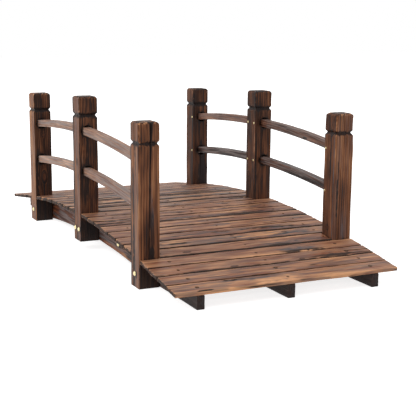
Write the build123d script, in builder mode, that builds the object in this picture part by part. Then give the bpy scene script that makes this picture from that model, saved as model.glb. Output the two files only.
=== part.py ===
from build123d import *
from math import asin, atan, cos, degrees, sin, sqrt
import os

# Arched garden footbridge in scorched fir: six square posts with grooved caps, two arched rails in
# each of its four railing bays, a deck of cross planks on three sawn stringer lines, and a short
# straight ramp at each end. Lengths are in millimetres.
#
# +X runs along the bridge to its east end, +Y across it to its north side, +Z up. The origin is on
# the ground under the middle of the bridge, and the bridge is symmetrical about both middle planes.

# Overall
BRIDGE_LENGTH = 1525.0  # over the outer edges of the last ramp planks
DECK_WIDTH = 674.0  # over the posts, and the length of a full plank

# The arch: the deck and the rails all follow circles about one centre below the ground
DECK_CREST = 118.8  # deck surface above the ground at mid span
ARCH_RADIUS = 3800.0  # of the deck surface

# Posts
POST_WIDTH = 62.0
POST_LENGTH = 451.5
POST_SPACING = 491.0  # from a middle post to an end post
POST_EDGE = 3.0  # rounding of the upright edges
CAP_HEIGHT = 57.0  # from the middle of the groove to the top
CAP_BEVEL = 5.0
GROOVE_DEPTH = 5.5
GROOVE_OPENING = 14.0

# Stringers: three lines, each of two sawn boards that meet at mid span
STRINGER_THICKNESS = 22.0
STRINGER_RISE = 28.0  # underside above the ground at mid span
STRINGER_SPRING = 500.0  # from mid span to where the underside reaches the ground
STRINGER_SETBACK = 3.5  # end face behind the outer edge of the last ramp plank
STRINGER_CHAMFER = 2.0

# Splice battens across the stringers' butt joints
SPLICE_LENGTH = 450.0
SPLICE_HEIGHT = 40.0
SPLICE_RISE = 3.0  # underside above that of the stringers at mid span

# Planks
PLANK_THICKNESS = 11.0
PLANK_GAP = 2.4
PLANK_EDGE = 1.5  # rounding round the upper face
PLANKS_PER_BAY = 7  # full planks between two pairs of posts
PLANKS_PER_RAMP = 4

# Rails and the round sockets that take their ends
RAIL_SIZE = 24.0
RAIL_EDGE = 1.5
RAIL_INSET = 14.5  # outer face of a rail behind the outer face of the posts
UPPER_RAIL_CREST = 386.2  # top of the rail at mid span
LOWER_RAIL_CREST = 261.0
SOCKET_DEPTH = 20.0
SOCKET_CLEARANCE = 0.8  # round the corners of the rail
RAIL_END_CLEARANCE = 0.2  # from the end of a rail to the floor of its socket

# Bolts: their holes only
BOLT_HOLE = 7.0
FOOT_BOLT_HEIGHT = 38.0  # above the foot of a post
MIDDLE_BOLT_OFFSET = 17.0  # each middle post has one bolt for each of the two stringers behind it
SPLICE_BOLT_INSET = 25.0  # from the end of a splice

# Derived places
ARCH_CENTRE = DECK_CREST - ARCH_RADIUS
STRINGER_RADIUS = ARCH_RADIUS - PLANK_THICKNESS
POST_Y = (DECK_WIDTH - POST_WIDTH) / 2
POST_INNER_Y = POST_Y - POST_WIDTH / 2
STRINGER_Y = POST_INNER_Y - STRINGER_THICKNESS / 2
RAIL_Y = DECK_WIDTH / 2 - RAIL_INSET - RAIL_SIZE / 2
SOCKET_RADIUS = RAIL_SIZE / sqrt(2) + SOCKET_CLEARANCE

ENDS = {"west": -1, "east": 1}
SIDES = {"south": -1, "north": 1}
STATIONS = {"west": -1, "middle": 0, "east": 1}
STRINGER_LINES = {"south": -STRINGER_Y, "centre": 0.0, "north": STRINGER_Y}
SPLICE_LINES = {
    "south": -STRINGER_Y + STRINGER_THICKNESS,
    "centre": STRINGER_THICKNESS,
    "north": STRINGER_Y - STRINGER_THICKNESS,
}
RAIL_CRESTS = {"upper": UPPER_RAIL_CREST, "lower": LOWER_RAIL_CREST}

# The arch runs on into the straight ramp midway in the gap outside the end posts
RAMP_START = POST_SPACING + POST_WIDTH / 2 + PLANK_GAP / 2
RAMP_ANGLE = asin(RAMP_START / ARCH_RADIUS)

os.makedirs("parts", exist_ok=True)


def arch_height(x, radius):
    """Height of a circle about the arch's centre, at a distance x from mid span."""
    return ARCH_CENTRE + sqrt(radius**2 - x**2)


def side_plane(y):
    """Upright plane along the bridge, with its own x along +X and its own y up."""
    return Plane.XZ.offset(-y)


def foot_height(station):
    """The middle posts end level with the stringers' underside, the end posts on the ground."""
    return 0.0 if station else STRINGER_RISE


def write(part, node):
    """Labels a finished piece and writes it as its own STEP file."""
    part.label = node
    export_step(part, f"parts/{node}.step")


# ---------------------------------------------------------------------------------------------
# Posts
# ---------------------------------------------------------------------------------------------
GROOVE_TAPER = degrees(atan(GROOVE_DEPTH / (GROOVE_OPENING / 2)))
SHAFT_LENGTH = POST_LENGTH - CAP_HEIGHT - GROOVE_OPENING / 2
CAP_LENGTH = CAP_HEIGHT - GROOVE_OPENING / 2


def socket_places(station):
    """For each rail end that a post takes: the way out of the socket, and its middle's height."""
    for way in (-1, 1):
        if station == way:
            continue
        face = abs(station * POST_SPACING + way * POST_WIDTH / 2)
        depth_way = -1 if station == 0 else 1
        middle = face + depth_way * SOCKET_DEPTH / 2
        for crest in RAIL_CRESTS.values():
            radius = crest - ARCH_CENTRE - RAIL_SIZE / 2
            yield way, arch_height(middle, radius)


def bolt_places(station):
    """Distances along the bridge of a post's foot bolts."""
    if station:
        return [station * POST_SPACING]
    return [-MIDDLE_BOLT_OFFSET, MIDDLE_BOLT_OFFSET]


for side_name, side in SIDES.items():
    for station_name, station in STATIONS.items():
        x = station * POST_SPACING
        y = side * POST_Y
        foot = foot_height(station)
        with BuildPart() as post:
            with BuildSketch(Plane((x, y, foot))):
                RectangleRounded(POST_WIDTH, POST_WIDTH, POST_EDGE)
            extrude(amount=SHAFT_LENGTH)
            extrude(post.faces().sort_by(Axis.Z)[-1], amount=GROOVE_OPENING / 2, taper=GROOVE_TAPER)
            extrude(post.faces().sort_by(Axis.Z)[-1], amount=GROOVE_OPENING / 2, taper=-GROOVE_TAPER)
            extrude(post.faces().sort_by(Axis.Z)[-1], amount=CAP_LENGTH)
            chamfer(post.faces().sort_by(Axis.Z)[-1].edges(), CAP_BEVEL)
            for way, height in socket_places(station):
                face = Plane((x + way * POST_WIDTH / 2, side * RAIL_Y, height), z_dir=(way, 0, 0))
                with Locations(face):
                    Hole(SOCKET_RADIUS, SOCKET_DEPTH)
            for bolt_x in bolt_places(station):
                face = Plane((bolt_x, side * DECK_WIDTH / 2, foot + FOOT_BOLT_HEIGHT), z_dir=(0, side, 0))
                with Locations(face):
                    Hole(BOLT_HOLE / 2)
        write(post.part, f"post_{side_name}_{station_name}")

# ---------------------------------------------------------------------------------------------
# Rails: battens bent to the arch, their ends cut square and set against the floors of the sockets
# ---------------------------------------------------------------------------------------------
RAIL_INNER_X = POST_WIDTH / 2 - SOCKET_DEPTH + RAIL_END_CLEARANCE
RAIL_OUTER_X = POST_SPACING - POST_WIDTH / 2 + SOCKET_DEPTH - RAIL_END_CLEARANCE

for level_name, crest in RAIL_CRESTS.items():
    top_radius = crest - ARCH_CENTRE
    middle_radius = top_radius - RAIL_SIZE / 2
    inner_angle = asin(RAIL_INNER_X / (top_radius - RAIL_SIZE))
    outer_angle = asin(RAIL_OUTER_X / top_radius)
    for side_name, side in SIDES.items():
        for end_name, end in ENDS.items():
            y = side * RAIL_Y
            start = min(end * inner_angle, end * outer_angle)
            section = Plane(
                (middle_radius * sin(start), y, ARCH_CENTRE + middle_radius * cos(start)),
                x_dir=(0, 1, 0),
                z_dir=(cos(start), 0, -sin(start)),
            )
            with BuildPart() as rail:
                with BuildSketch(section):
                    RectangleRounded(RAIL_SIZE, RAIL_SIZE, RAIL_EDGE)
                revolve(
                    axis=Axis((0, y, ARCH_CENTRE), (0, 1, 0)),
                    revolution_arc=degrees(outer_angle - inner_angle),
                )
            write(rail.part, f"rail_{level_name}_{side_name}_{end_name}")

# ---------------------------------------------------------------------------------------------
# Stringers
# ---------------------------------------------------------------------------------------------
STRINGER_END = BRIDGE_LENGTH / 2 - STRINGER_SETBACK
RAMP_FOOT_X = STRINGER_RADIUS * sin(RAMP_ANGLE)
RAMP_FOOT_Z = ARCH_CENTRE + STRINGER_RADIUS * cos(RAMP_ANGLE)
STRINGER_END_TOP = RAMP_FOOT_Z - (STRINGER_END - RAMP_FOOT_X) * sin(RAMP_ANGLE) / cos(RAMP_ANGLE)
UNDERSIDE_RADIUS = (STRINGER_SPRING**2 + STRINGER_RISE**2) / (2 * STRINGER_RISE)
UNDERSIDE_CENTRE = STRINGER_RISE - UNDERSIDE_RADIUS
SPLICE_BOLT_X = SPLICE_LENGTH / 2 - SPLICE_BOLT_INSET
SPLICE_MIDDLE_Z = STRINGER_RISE + SPLICE_RISE + SPLICE_HEIGHT / 2


def underside_height(x):
    """Height of the stringers' arched underside above the ground."""
    return UNDERSIDE_CENTRE + sqrt(UNDERSIDE_RADIUS**2 - x**2)


for line_name, line_y in STRINGER_LINES.items():
    for end_name, end in ENDS.items():
        with BuildPart() as stringer:
            with BuildSketch(side_plane(line_y)):
                with BuildLine():
                    arch = ThreePointArc(
                        (0, arch_height(0, STRINGER_RADIUS)),
                        (end * RAMP_FOOT_X / 2, arch_height(RAMP_FOOT_X / 2, STRINGER_RADIUS)),
                        (end * RAMP_FOOT_X, RAMP_FOOT_Z),
                    )
                    underside = ThreePointArc(
                        (end * STRINGER_SPRING, 0),
                        (end * STRINGER_SPRING / 2, underside_height(STRINGER_SPRING / 2)),
                        (0, STRINGER_RISE),
                    )
                    Polyline(
                        arch @ 1,
                        (end * STRINGER_END, STRINGER_END_TOP),
                        (end * STRINGER_END, 0),
                        underside @ 0,
                    )
                    Line(underside @ 1, arch @ 0)
                make_face()
            extrude(amount=STRINGER_THICKNESS / 2, both=True)
            end_face = stringer.faces().sort_by(Axis.X)[-1 if end > 0 else 0]
            chamfer(end_face.edges().filter_by(Axis.Y).sort_by(Axis.Z)[-1], STRINGER_CHAMFER)
            bolt_xs = [(end * SPLICE_BOLT_X, SPLICE_MIDDLE_Z)]
            if line_y:
                bolt_xs.append((end * MIDDLE_BOLT_OFFSET, STRINGER_RISE + FOOT_BOLT_HEIGHT))
                bolt_xs.append((end * POST_SPACING, FOOT_BOLT_HEIGHT))
            for bolt_x, bolt_z in bolt_xs:
                with Locations(Plane((bolt_x, line_y - STRINGER_THICKNESS / 2, bolt_z), z_dir=(0, -1, 0))):
                    Hole(BOLT_HOLE / 2)
        write(stringer.part, f"stringer_{line_name}_{end_name}")

# ---------------------------------------------------------------------------------------------
# Splices
# ---------------------------------------------------------------------------------------------
for line_name, line_y in SPLICE_LINES.items():
    with BuildPart() as splice:
        with BuildSketch(side_plane(line_y)):
            with Locations((0, SPLICE_MIDDLE_Z)):
                Rectangle(SPLICE_LENGTH, SPLICE_HEIGHT)
            with Locations((-SPLICE_BOLT_X, SPLICE_MIDDLE_Z), (SPLICE_BOLT_X, SPLICE_MIDDLE_Z)):
                Circle(BOLT_HOLE / 2, mode=Mode.SUBTRACT)
        extrude(amount=STRINGER_THICKNESS / 2, both=True)
    write(splice.part, f"splice_{line_name}")

# ---------------------------------------------------------------------------------------------
# Deck planks: short ones between the posts, full ones in the bays
# ---------------------------------------------------------------------------------------------
BAY_START = asin(POST_WIDTH / 2 / ARCH_RADIUS)
BAY_END = asin((POST_SPACING - POST_WIDTH / 2) / ARCH_RADIUS)
GAP_ANGLE = PLANK_GAP / ARCH_RADIUS
FULL_PLANK_ANGLE = (BAY_END - BAY_START - (PLANKS_PER_BAY + 1) * GAP_ANGLE) / PLANKS_PER_BAY
FULL_PLANK_WIDTH = FULL_PLANK_ANGLE * ARCH_RADIUS
SHORT_PLANK_LENGTH = 2 * POST_INNER_Y
SHORT_PLANK_STATION = asin(POST_SPACING / ARCH_RADIUS)


def plank_plane(angle):
    """Plane on the stringers' arched top, with its own x along the bridge and z out of the arch."""
    return Plane(
        (STRINGER_RADIUS * sin(angle), 0, ARCH_CENTRE + STRINGER_RADIUS * cos(angle)),
        x_dir=(cos(angle), 0, -sin(angle)),
        z_dir=(sin(angle), 0, cos(angle)),
    )


def bay_angles(end):
    """Angles of a bay's full planks about the arch's centre."""
    step = FULL_PLANK_ANGLE + GAP_ANGLE
    first = BAY_START + GAP_ANGLE + FULL_PLANK_ANGLE / 2
    return [end * (first + index * step) for index in range(PLANKS_PER_BAY)]


full_planks = [(angle, FULL_PLANK_WIDTH, DECK_WIDTH) for end in ENDS.values() for angle in bay_angles(end)]
short_planks = [
    (station * SHORT_PLANK_STATION, POST_WIDTH, SHORT_PLANK_LENGTH) for station in STATIONS.values()
]

for number, (angle, width, length) in enumerate(sorted(full_planks + short_planks), start=1):
    plane = plank_plane(angle)
    with BuildPart() as plank:
        with BuildSketch(plane):
            Rectangle(width, length)
        extrude(amount=PLANK_THICKNESS)
        fillet(plank.faces().sort_by(Axis(plane.origin, plane.z_dir))[-1].edges(), PLANK_EDGE)
    write(plank.part, f"deck_plank_{number:02d}")

# ---------------------------------------------------------------------------------------------
# Ramps
# ---------------------------------------------------------------------------------------------
RAMP_RUN = (BRIDGE_LENGTH / 2 - RAMP_START) / cos(RAMP_ANGLE)
RAMP_FIRST_GAP = PLANK_GAP / 2
RAMP_PITCH = (RAMP_RUN - RAMP_FIRST_GAP + PLANK_GAP) / PLANKS_PER_RAMP
RAMP_PLANK_WIDTH = RAMP_PITCH - PLANK_GAP

for end_name, end in ENDS.items():
    slope = Plane(
        (end * RAMP_FOOT_X, 0, RAMP_FOOT_Z),
        x_dir=(end * cos(RAMP_ANGLE), 0, -sin(RAMP_ANGLE)),
        z_dir=(end * sin(RAMP_ANGLE), 0, cos(RAMP_ANGLE)),
    )
    middles = [RAMP_FIRST_GAP + RAMP_PLANK_WIDTH / 2 + index * RAMP_PITCH for index in range(PLANKS_PER_RAMP)]
    with BuildPart() as ramp:
        with BuildSketch(slope):
            with Locations(*[(middle, 0) for middle in middles]):
                Rectangle(RAMP_PLANK_WIDTH, DECK_WIDTH)
        extrude(amount=PLANK_THICKNESS)
        fillet(ramp.faces().group_by(Axis(slope.origin, slope.z_dir))[-1].edges(), PLANK_EDGE)
    write(ramp.part, f"ramp_{end_name}_planks")
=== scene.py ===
"""Looks of an arched garden footbridge in scorched and brushed fir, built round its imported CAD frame.

Every timber of the frame is replaced by a worn and figured one of the same size and place: its faces
have the relief of brushed grain, its edges are rubbed, and knots, drying checks, sockets and screw dimples
are cut into it. Bolts, nuts, washers and screws are added. Lengths are in metres.

+X runs along the bridge to its east end, +Y across it to its north side, +Z up.
"""

import logging
import math
import zlib
from dataclasses import dataclass, field
from enum import Enum

import bmesh
import bpy
import numpy as np
from bmesh.types import BMesh, BMVert
from bpy.types import ID, Material, Node, NodeSocket, NodeTree, Object
from mathutils import Matrix, Vector


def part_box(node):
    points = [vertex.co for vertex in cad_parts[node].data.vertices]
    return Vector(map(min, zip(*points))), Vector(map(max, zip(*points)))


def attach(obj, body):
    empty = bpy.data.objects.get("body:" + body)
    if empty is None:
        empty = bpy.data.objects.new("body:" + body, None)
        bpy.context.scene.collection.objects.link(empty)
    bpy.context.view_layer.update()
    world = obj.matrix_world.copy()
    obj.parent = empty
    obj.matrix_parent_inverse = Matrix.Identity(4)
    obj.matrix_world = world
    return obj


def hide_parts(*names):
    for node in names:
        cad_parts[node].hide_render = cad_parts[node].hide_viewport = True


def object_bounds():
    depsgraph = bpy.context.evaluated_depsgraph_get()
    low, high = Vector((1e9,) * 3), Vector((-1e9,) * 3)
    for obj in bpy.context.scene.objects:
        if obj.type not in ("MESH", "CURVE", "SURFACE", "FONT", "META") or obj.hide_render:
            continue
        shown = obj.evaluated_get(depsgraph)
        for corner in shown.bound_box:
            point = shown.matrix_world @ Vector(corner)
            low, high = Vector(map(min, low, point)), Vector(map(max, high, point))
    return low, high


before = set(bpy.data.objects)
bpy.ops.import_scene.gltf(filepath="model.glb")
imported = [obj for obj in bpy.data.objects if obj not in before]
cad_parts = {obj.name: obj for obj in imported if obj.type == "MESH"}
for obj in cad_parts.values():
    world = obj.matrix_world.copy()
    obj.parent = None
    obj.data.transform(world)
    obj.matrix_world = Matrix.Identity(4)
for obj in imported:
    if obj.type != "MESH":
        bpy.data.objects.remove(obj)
CAD_BOX = [list(corner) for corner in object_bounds()]

MM = 0.001
BODY = "root"
SMOOTHING_ANGLE = math.radians(38)

Array = np.ndarray
Pair = tuple[float, float]
Marks = dict[str, Array]  # values of a timber's attributes at its points
Placed = tuple[Array, Array]  # a place on the bridge and a direction there

log = logging.getLogger("footbridge")


def add_object(name: str, data: ID | None) -> Object:
    """Adds an object to the scene.

    Args:
        name: its name.
        data: its mesh, light or camera, or None.

    Returns:
        The object.
    """
    made = bpy.data.objects.new(name, data)
    bpy.context.scene.collection.objects.link(made)
    return made


# Colours and nodes ----------
def linear(colour: str) -> tuple[float, float, float, float]:
    """Turns an sRGB hex colour to linear light.

    Args:
        colour: the colour as "#rrggbb".

    Returns:
        Red, green, blue and an alpha of 1.
    """
    shares = [int(colour[place : place + 2], 16) / 255 for place in (1, 3, 5)]
    values = [c / 12.92 if c <= 0.04045 else ((c + 0.055) / 1.055) ** 2.4 for c in shares]
    return (values[0], values[1], values[2], 1.0)


def add_node(tree: NodeTree, kind: str, links: dict | list | None = None, **settings: object) -> Node:
    """Adds a node to a tree.

    Args:
        tree: the node tree.
        kind: the node's type without its "ShaderNode".
        links: what the inputs take, by name or number or in order: a value, an output, or a node, which
            gives the first output that it has in use.
        settings: properties of the node.

    Returns:
        The new node.
    """
    node = tree.nodes.new("ShaderNode" + kind)
    for name, value in settings.items():
        setattr(node, name, value)
    for name, value in links.items() if isinstance(links, dict) else enumerate(links or []):
        if isinstance(value, Node):
            value = next(output for output in value.outputs if output.enabled)
        if isinstance(value, NodeSocket):
            tree.links.new(value, node.inputs[name])
        else:
            node.inputs[name].default_value = value
    return node


def new_material(name: str) -> tuple[Material, NodeTree]:
    """Makes a material.

    Args:
        name: its name.

    Returns:
        The material and its node tree, which is empty.
    """
    made = bpy.data.materials.new(name)
    made.use_nodes = True
    made.node_tree.nodes.clear()
    return made, made.node_tree


MIX_SHARE, MIX_FROM, MIX_TO = 0, 6, 7  # inputs of a Mix node between colours, by their numbers


# Finishes ----------
@dataclass(frozen=True)
class Figure:
    """Noise that follows the grain: the width and length of its marks, and its number of finer layers."""

    width: float
    length: float
    layers: float


@dataclass(frozen=True)
class ScorchedFir:
    """Planed fir, scorched with a flame, brushed along the grain and oiled.

    The flame blackens the wood and the brush takes most of the soot off the soft early wood again, so the
    eye gets warm brown wood between dark late-wood lines, sooty streaks, rubbed edges and a grey bloom.
    The same char, pale wood and grey veil also carry painted shade, painted highlight and painted sheen.
    """

    name: str
    char: str = "#130d0e"
    late_wood: str = "#452414"
    brown: str = "#804c31"
    tan: str = "#b37b54"
    pale: str = "#e8ae7d"
    bloom: str = "#6c6365"
    knot: str = "#53301f"
    ring_pitch: float = 6.5 * MM  # growth rings, drawn a little coarse so that they show
    ring_waver: float = 0.5  # how unevenly they lie, in rings
    ring_rise: Pair = (0.35, 0.88)  # the part of a ring over which it darkens to late wood
    ring_fall: Pair = (0.92, 1.0)  # and the part over which that ends
    fibre: Figure = Figure(3.0 * MM, 150 * MM, 1.0)
    streak: Figure = Figure(7.5 * MM, 330 * MM, 2.0)
    patch: Figure = Figure(40 * MM, 170 * MM, 2.0)
    soot: Figure = Figure(11 * MM, 170 * MM, 3.0)
    haze: Figure = Figure(9 * MM, 260 * MM, 2.0)
    haze_edge: Pair = (0.44, 0.56)  # the haze's own values between which bloom sets in
    level: float = 0.5  # tone of the plain wood, 0 dark to 1 pale
    ring_depth: float = 0.16
    fibre_depth: float = 0.4
    streak_depth: float = 0.7
    patch_depth: float = 0.7
    worn_lift: float = 0.42  # how much paler a rubbed edge is
    soot_depth: float = 1.6
    char_from: float = 1.16  # less chars more of the wood
    char_blend: float = 0.3
    char_cover: float = 0.9
    bloom_and_sheen_share: float = 0.72
    knot_core: Pair = (0.75, 1.0)  # in knot radii, where its own colour ends
    knot_cover: float = 0.85
    rim_inside: Pair = (0.62, 0.9)  # where the dark rim of a knot rises
    rim_outside: Pair = (1.05, 1.5)  # and where it has gone
    rim_cover: float = 0.7
    gloss: float = 0.56  # roughness of the oiled wood
    fibre_matt: float = 0.18  # how much rougher the fibres are
    char_matt: float = -0.08  # how much rougher char is
    specular: float = 0.22
    bump: float = 1.0 * MM
    SHIFTS = (3.1, 7.7, 12.9, 21.3, 33.7)  # keep the figures of one finish apart from each other

    def material(self) -> Material:
        """Makes the material, which reads the attributes that Timber.finish_object writes.

        Returns:
            The material.
        """
        made, tree = new_material(self.name)
        grain = add_node(tree, "Attribute", attribute_name="grain").outputs["Vector"]
        scorch, worn, tint, bloom, knot = (
            add_node(tree, "Attribute", attribute_name=name).outputs["Fac"]
            for name in ("scorch", "worn", "tint", "bloom", "knot")
        )
        noises = []
        figures = (self.fibre, self.streak, self.patch, self.soot, self.haze)
        for figure, shift in zip(figures, self.SHIFTS):
            scale = (1 / figure.length, 1 / figure.width, 1 / figure.width)
            place = add_node(tree, "VectorMath", [grain, scale, (shift,) * 3], operation="MULTIPLY_ADD")
            noise = {"Vector": place, "Scale": 1.0, "Detail": figure.layers}
            noises.append(add_node(tree, "TexNoise", noise))
        fibre, streak, patch, soot, haze = noises
        smooth = {"interpolation_type": "SMOOTHSTEP"}

        # Growth rings round the pith: a slow rise to the dark late wood, then a sharp step back
        across = add_node(tree, "VectorMath", [grain, (0, 1, 1)], operation="MULTIPLY")
        radius = add_node(tree, "VectorMath", [across], operation="LENGTH")
        rings = add_node(tree, "Math", [radius, self.ring_pitch], operation="DIVIDE")
        rings = add_node(tree, "Math", [fibre, self.ring_waver, rings], operation="MULTIPLY_ADD")
        phase = add_node(tree, "Math", [rings], operation="FRACT")
        rise = add_node(tree, "MapRange", [phase, *self.ring_rise, 0.0, 1.0], **smooth)
        fall = add_node(tree, "MapRange", [phase, *self.ring_fall, 1.0, 0.0], **smooth)
        late = add_node(tree, "Math", [rise, fall], operation="MULTIPLY")

        # Tone: from the soft early wood down to the late wood, with streaks, patches and rubbed edges; the
        # tint and the rubbed edges also carry painted shade and painted highlight
        level = self.level - (self.streak_depth + self.patch_depth + self.fibre_depth - self.ring_depth) / 2
        tone = add_node(tree, "Math", [tint, level], operation="ADD")
        for part, amount in (
            (late, -self.ring_depth), (streak, self.streak_depth), (patch, self.patch_depth),
            (fibre, self.fibre_depth), (worn, self.worn_lift),
        ):
            tone = add_node(tree, "Math", [part, amount, tone], operation="MULTIPLY_ADD")
        ramp = add_node(tree, "ValToRGB", [tone])
        tones = (self.char, self.late_wood, self.brown, self.tan, self.pale)
        elements = ramp.color_ramp.elements
        for number, colour in enumerate(tones):
            place = number / (len(tones) - 1)
            element = elements[number] if number < len(elements) else elements.new(place)
            element.position, element.color = place, linear(colour)

        # Bloom and painted sheen: a thin grey veil where the haze is dense
        veil = add_node(tree, "MapRange", [haze, *self.haze_edge, 0.0, self.bloom_and_sheen_share], **smooth)
        veil = add_node(tree, "Math", [veil, bloom], operation="MULTIPLY")
        layer = {MIX_SHARE: veil, MIX_FROM: ramp, MIX_TO: linear(self.bloom)}
        colour = add_node(tree, "Mix", layer, data_type="RGBA")

        # Knots: a dark rim round brown wood
        core = add_node(tree, "MapRange", [knot, *self.knot_core, self.knot_cover, 0.0], **smooth)
        layer = {MIX_SHARE: core, MIX_FROM: colour, MIX_TO: linear(self.knot)}
        colour = add_node(tree, "Mix", layer, data_type="RGBA")
        inside = add_node(tree, "MapRange", [knot, *self.rim_inside, 0.0, self.rim_cover], **smooth)
        outside = add_node(tree, "MapRange", [knot, *self.rim_outside, 1.0, 0.0], **smooth)
        rim = add_node(tree, "Math", [inside, outside], operation="MULTIPLY")

        # Char and painted shade: where the flame was long enough on the wood or shade is painted, and less
        # where a fibre or an edge is rubbed
        burnt = scorch
        for part, amount in ((patch, 0.35), (soot, self.soot_depth), (fibre, 0.2), (worn, -0.25)):
            burnt = add_node(tree, "Math", [part, amount, burnt], operation="MULTIPLY_ADD")
        char_range = (self.char_from, self.char_from + self.char_blend)
        char = add_node(tree, "MapRange", [burnt, *char_range, 0.0, self.char_cover], **smooth)
        char = add_node(tree, "Math", [char, rim], operation="MAXIMUM")
        layer = {MIX_SHARE: char, MIX_FROM: colour, MIX_TO: linear(self.char)}
        colour = add_node(tree, "Mix", layer, data_type="RGBA")

        # Relief and gloss
        height = add_node(tree, "Math", [streak, fibre], operation="ADD")
        height = add_node(tree, "Math", [late, 0.5, height], operation="MULTIPLY_ADD")
        bump = add_node(tree, "Bump", {"Height": height, "Distance": self.bump, "Strength": 0.8})
        rough = add_node(tree, "Math", [char, self.char_matt, self.gloss], operation="MULTIPLY_ADD")
        rough = add_node(tree, "Math", [fibre, self.fibre_matt, rough], operation="MULTIPLY_ADD")
        shader = add_node(
            tree,
            "BsdfPrincipled",
            {
                "Base Color": colour, "Roughness": rough, "IOR": 1.5,
                "Specular IOR Level": self.specular, "Normal": bump,
            },
        )
        add_node(tree, "OutputMaterial", [shader])
        return made


@dataclass(frozen=True)
class PlatedSteel:
    """Steel with a thin plated coat: a soft metal gloss, clouded in tone and duller in patches."""

    name: str
    colour: str
    shade: str
    roughness: float
    polished: float = -0.06  # change of roughness where the coat is best
    dull: float = 0.1  # and where it is duller
    cloud: float = 2.5 * MM

    def material(self) -> Material:
        """Makes the material.

        Returns:
            The material.
        """
        made, tree = new_material(self.name)
        place = add_node(tree, "TexCoord").outputs["Object"]
        cloud = add_node(tree, "TexNoise", {"Vector": place, "Scale": 1 / self.cloud, "Detail": 3.0})
        layer = {MIX_SHARE: cloud, MIX_FROM: linear(self.colour), MIX_TO: linear(self.shade)}
        colour = add_node(tree, "Mix", layer, data_type="RGBA")
        roughness = (self.roughness + self.polished, self.roughness + self.dull)
        rough = add_node(tree, "MapRange", [cloud, 0.0, 1.0, *roughness])
        steel = {"Base Color": colour, "Roughness": rough, "Metallic": 1.0}
        shader = add_node(tree, "BsdfPrincipled", steel)
        add_node(tree, "OutputMaterial", [shader])
        return made


# Reading the frame ----------
WELD = 1e-6


@dataclass(frozen=True)
class Solid:
    """One solid of a CAD node: its corner points and the direction in which its widest upper face looks."""

    points: Array
    up: Array

    def spread(self, axis: Array) -> Pair:
        """Least and greatest reach of the solid along an axis."""
        reach = self.points @ axis
        return float(reach.min()), float(reach.max())


def solids_of(node: str) -> list[Solid]:
    """Splits a CAD node into its solids.

    Args:
        node: the node's name.

    Returns:
        The node's solids, west to east.
    """
    grid = bmesh.new()
    grid.from_mesh(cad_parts[node].data)
    bmesh.ops.remove_doubles(grid, verts=grid.verts, dist=WELD)
    waiting = set(grid.verts)
    solids = []
    while waiting:
        group = {waiting.pop()}
        front = list(group)
        while front:
            for edge in front.pop().link_edges:
                for vert in edge.verts:
                    if vert not in group:
                        group.add(vert)
                        front.append(vert)
        waiting -= group
        faces = {face for vert in group for face in vert.link_faces if face.normal.z > 0.5}
        up = np.array(max(faces, key=lambda face: face.calc_area()).normal)
        solids.append(Solid(np.array([vert.co[:] for vert in group]), up))
    grid.free()
    return sorted(solids, key=lambda solid: solid.points[:, 0].mean())


def upper_hull(points: Array) -> Array:
    """Upper edge of the convex outline of points in a plane, left to right.

    Args:
        points: the points, one row each.

    Returns:
        The points on the upper edge.
    """
    hull: list[Array] = []
    for point in sorted(points.tolist()):
        while len(hull) > 1:
            (x1, y1), (x2, y2) = hull[-2], hull[-1]
            if (x2 - x1) * (point[1] - y1) < (y2 - y1) * (point[0] - x1):
                break
            hull.pop()
        hull.append(point)
    return np.array(hull)


# Repeatable noise ----------
class Noise:
    """Smooth noise over two coordinates, from about -1 to 1, the same on every run."""

    CELLS = 64

    def __init__(self, seed: int) -> None:
        """Draws the table that the noise is read from."""
        self.table = np.random.default_rng(seed).uniform(-1, 1, (self.CELLS, self.CELLS))

    def at(self, x: Array, y: Array | float = 0.0) -> Array:
        """Reads the noise.

        Args:
            x: first coordinate, one cell a unit.
            y: second coordinate, one cell a unit.

        Returns:
            The noise at each place.
        """
        x, y = np.broadcast_arrays(np.asarray(x, float), np.asarray(y, float))
        left, low = np.floor(x).astype(int), np.floor(y).astype(int)
        a, b = x - left, y - low
        a, b = a * a * (3 - 2 * a), b * b * (3 - 2 * b)
        i, j = left % self.CELLS, low % self.CELLS
        i2, j2 = (i + 1) % self.CELLS, (j + 1) % self.CELLS
        t = self.table
        return (t[i, j] * (1 - a) + t[i2, j] * a) * (1 - b) + (t[i, j2] * (1 - a) + t[i2, j2] * a) * b


def seed_of(name: str) -> int:
    """A seed that a name always gives."""
    return zlib.crc32(name.encode())


def bell(distance: Array, width: float | Array) -> Array:
    """Falls from 1 at no distance like one side of a bell, to a third at the width given."""
    return np.exp(-((distance / width) ** 2))


def fade(distance: Array, length: float) -> Array:
    """Falls from 1 at no distance, fast and then ever slower, to a third at the length given."""
    return np.exp(-distance / length)


# Timbers ----------
class Face(Enum):
    """The four long faces of a timber, in the order in which they follow each other round its section."""

    U_PLUS = 0
    V_PLUS = 1
    U_MINUS = 2
    V_MINUS = 3

    @property
    def normal(self) -> Pair:
        """Outward direction of the face in the section."""
        return ((1.0, 0.0), (0.0, 1.0), (-1.0, 0.0), (0.0, -1.0))[self.value]

    @property
    def tangent(self) -> Pair:
        """Direction across the face in the section."""
        return ((0.0, 1.0), (-1.0, 0.0), (0.0, -1.0), (1.0, 0.0))[self.value]

    def outward(self, u: Array, v: Array) -> Array:
        """Distance of points from the section's middle, towards the face."""
        return u * self.normal[0] + v * self.normal[1]

    def sideways(self, u: Array, v: Array) -> Array:
        """Distance of points from the middle line of the face, across it."""
        return u * self.tangent[0] + v * self.tangent[1]


@dataclass(frozen=True)
class Knot:
    """A branch cut across by a face: the grain parts round it."""

    face: Face
    along: float
    across: float
    radius: float
    stretch: float = 1.5
    rings: float = 0.08  # how much darker and paler the rings round it are

    @classmethod
    def mm(cls, face: Face, along: float, across: float, radius: float, *rest: float) -> "Knot":
        """A knot whose lengths are given in millimetres."""
        return cls(face, along * MM, across * MM, radius * MM, *rest)


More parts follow.
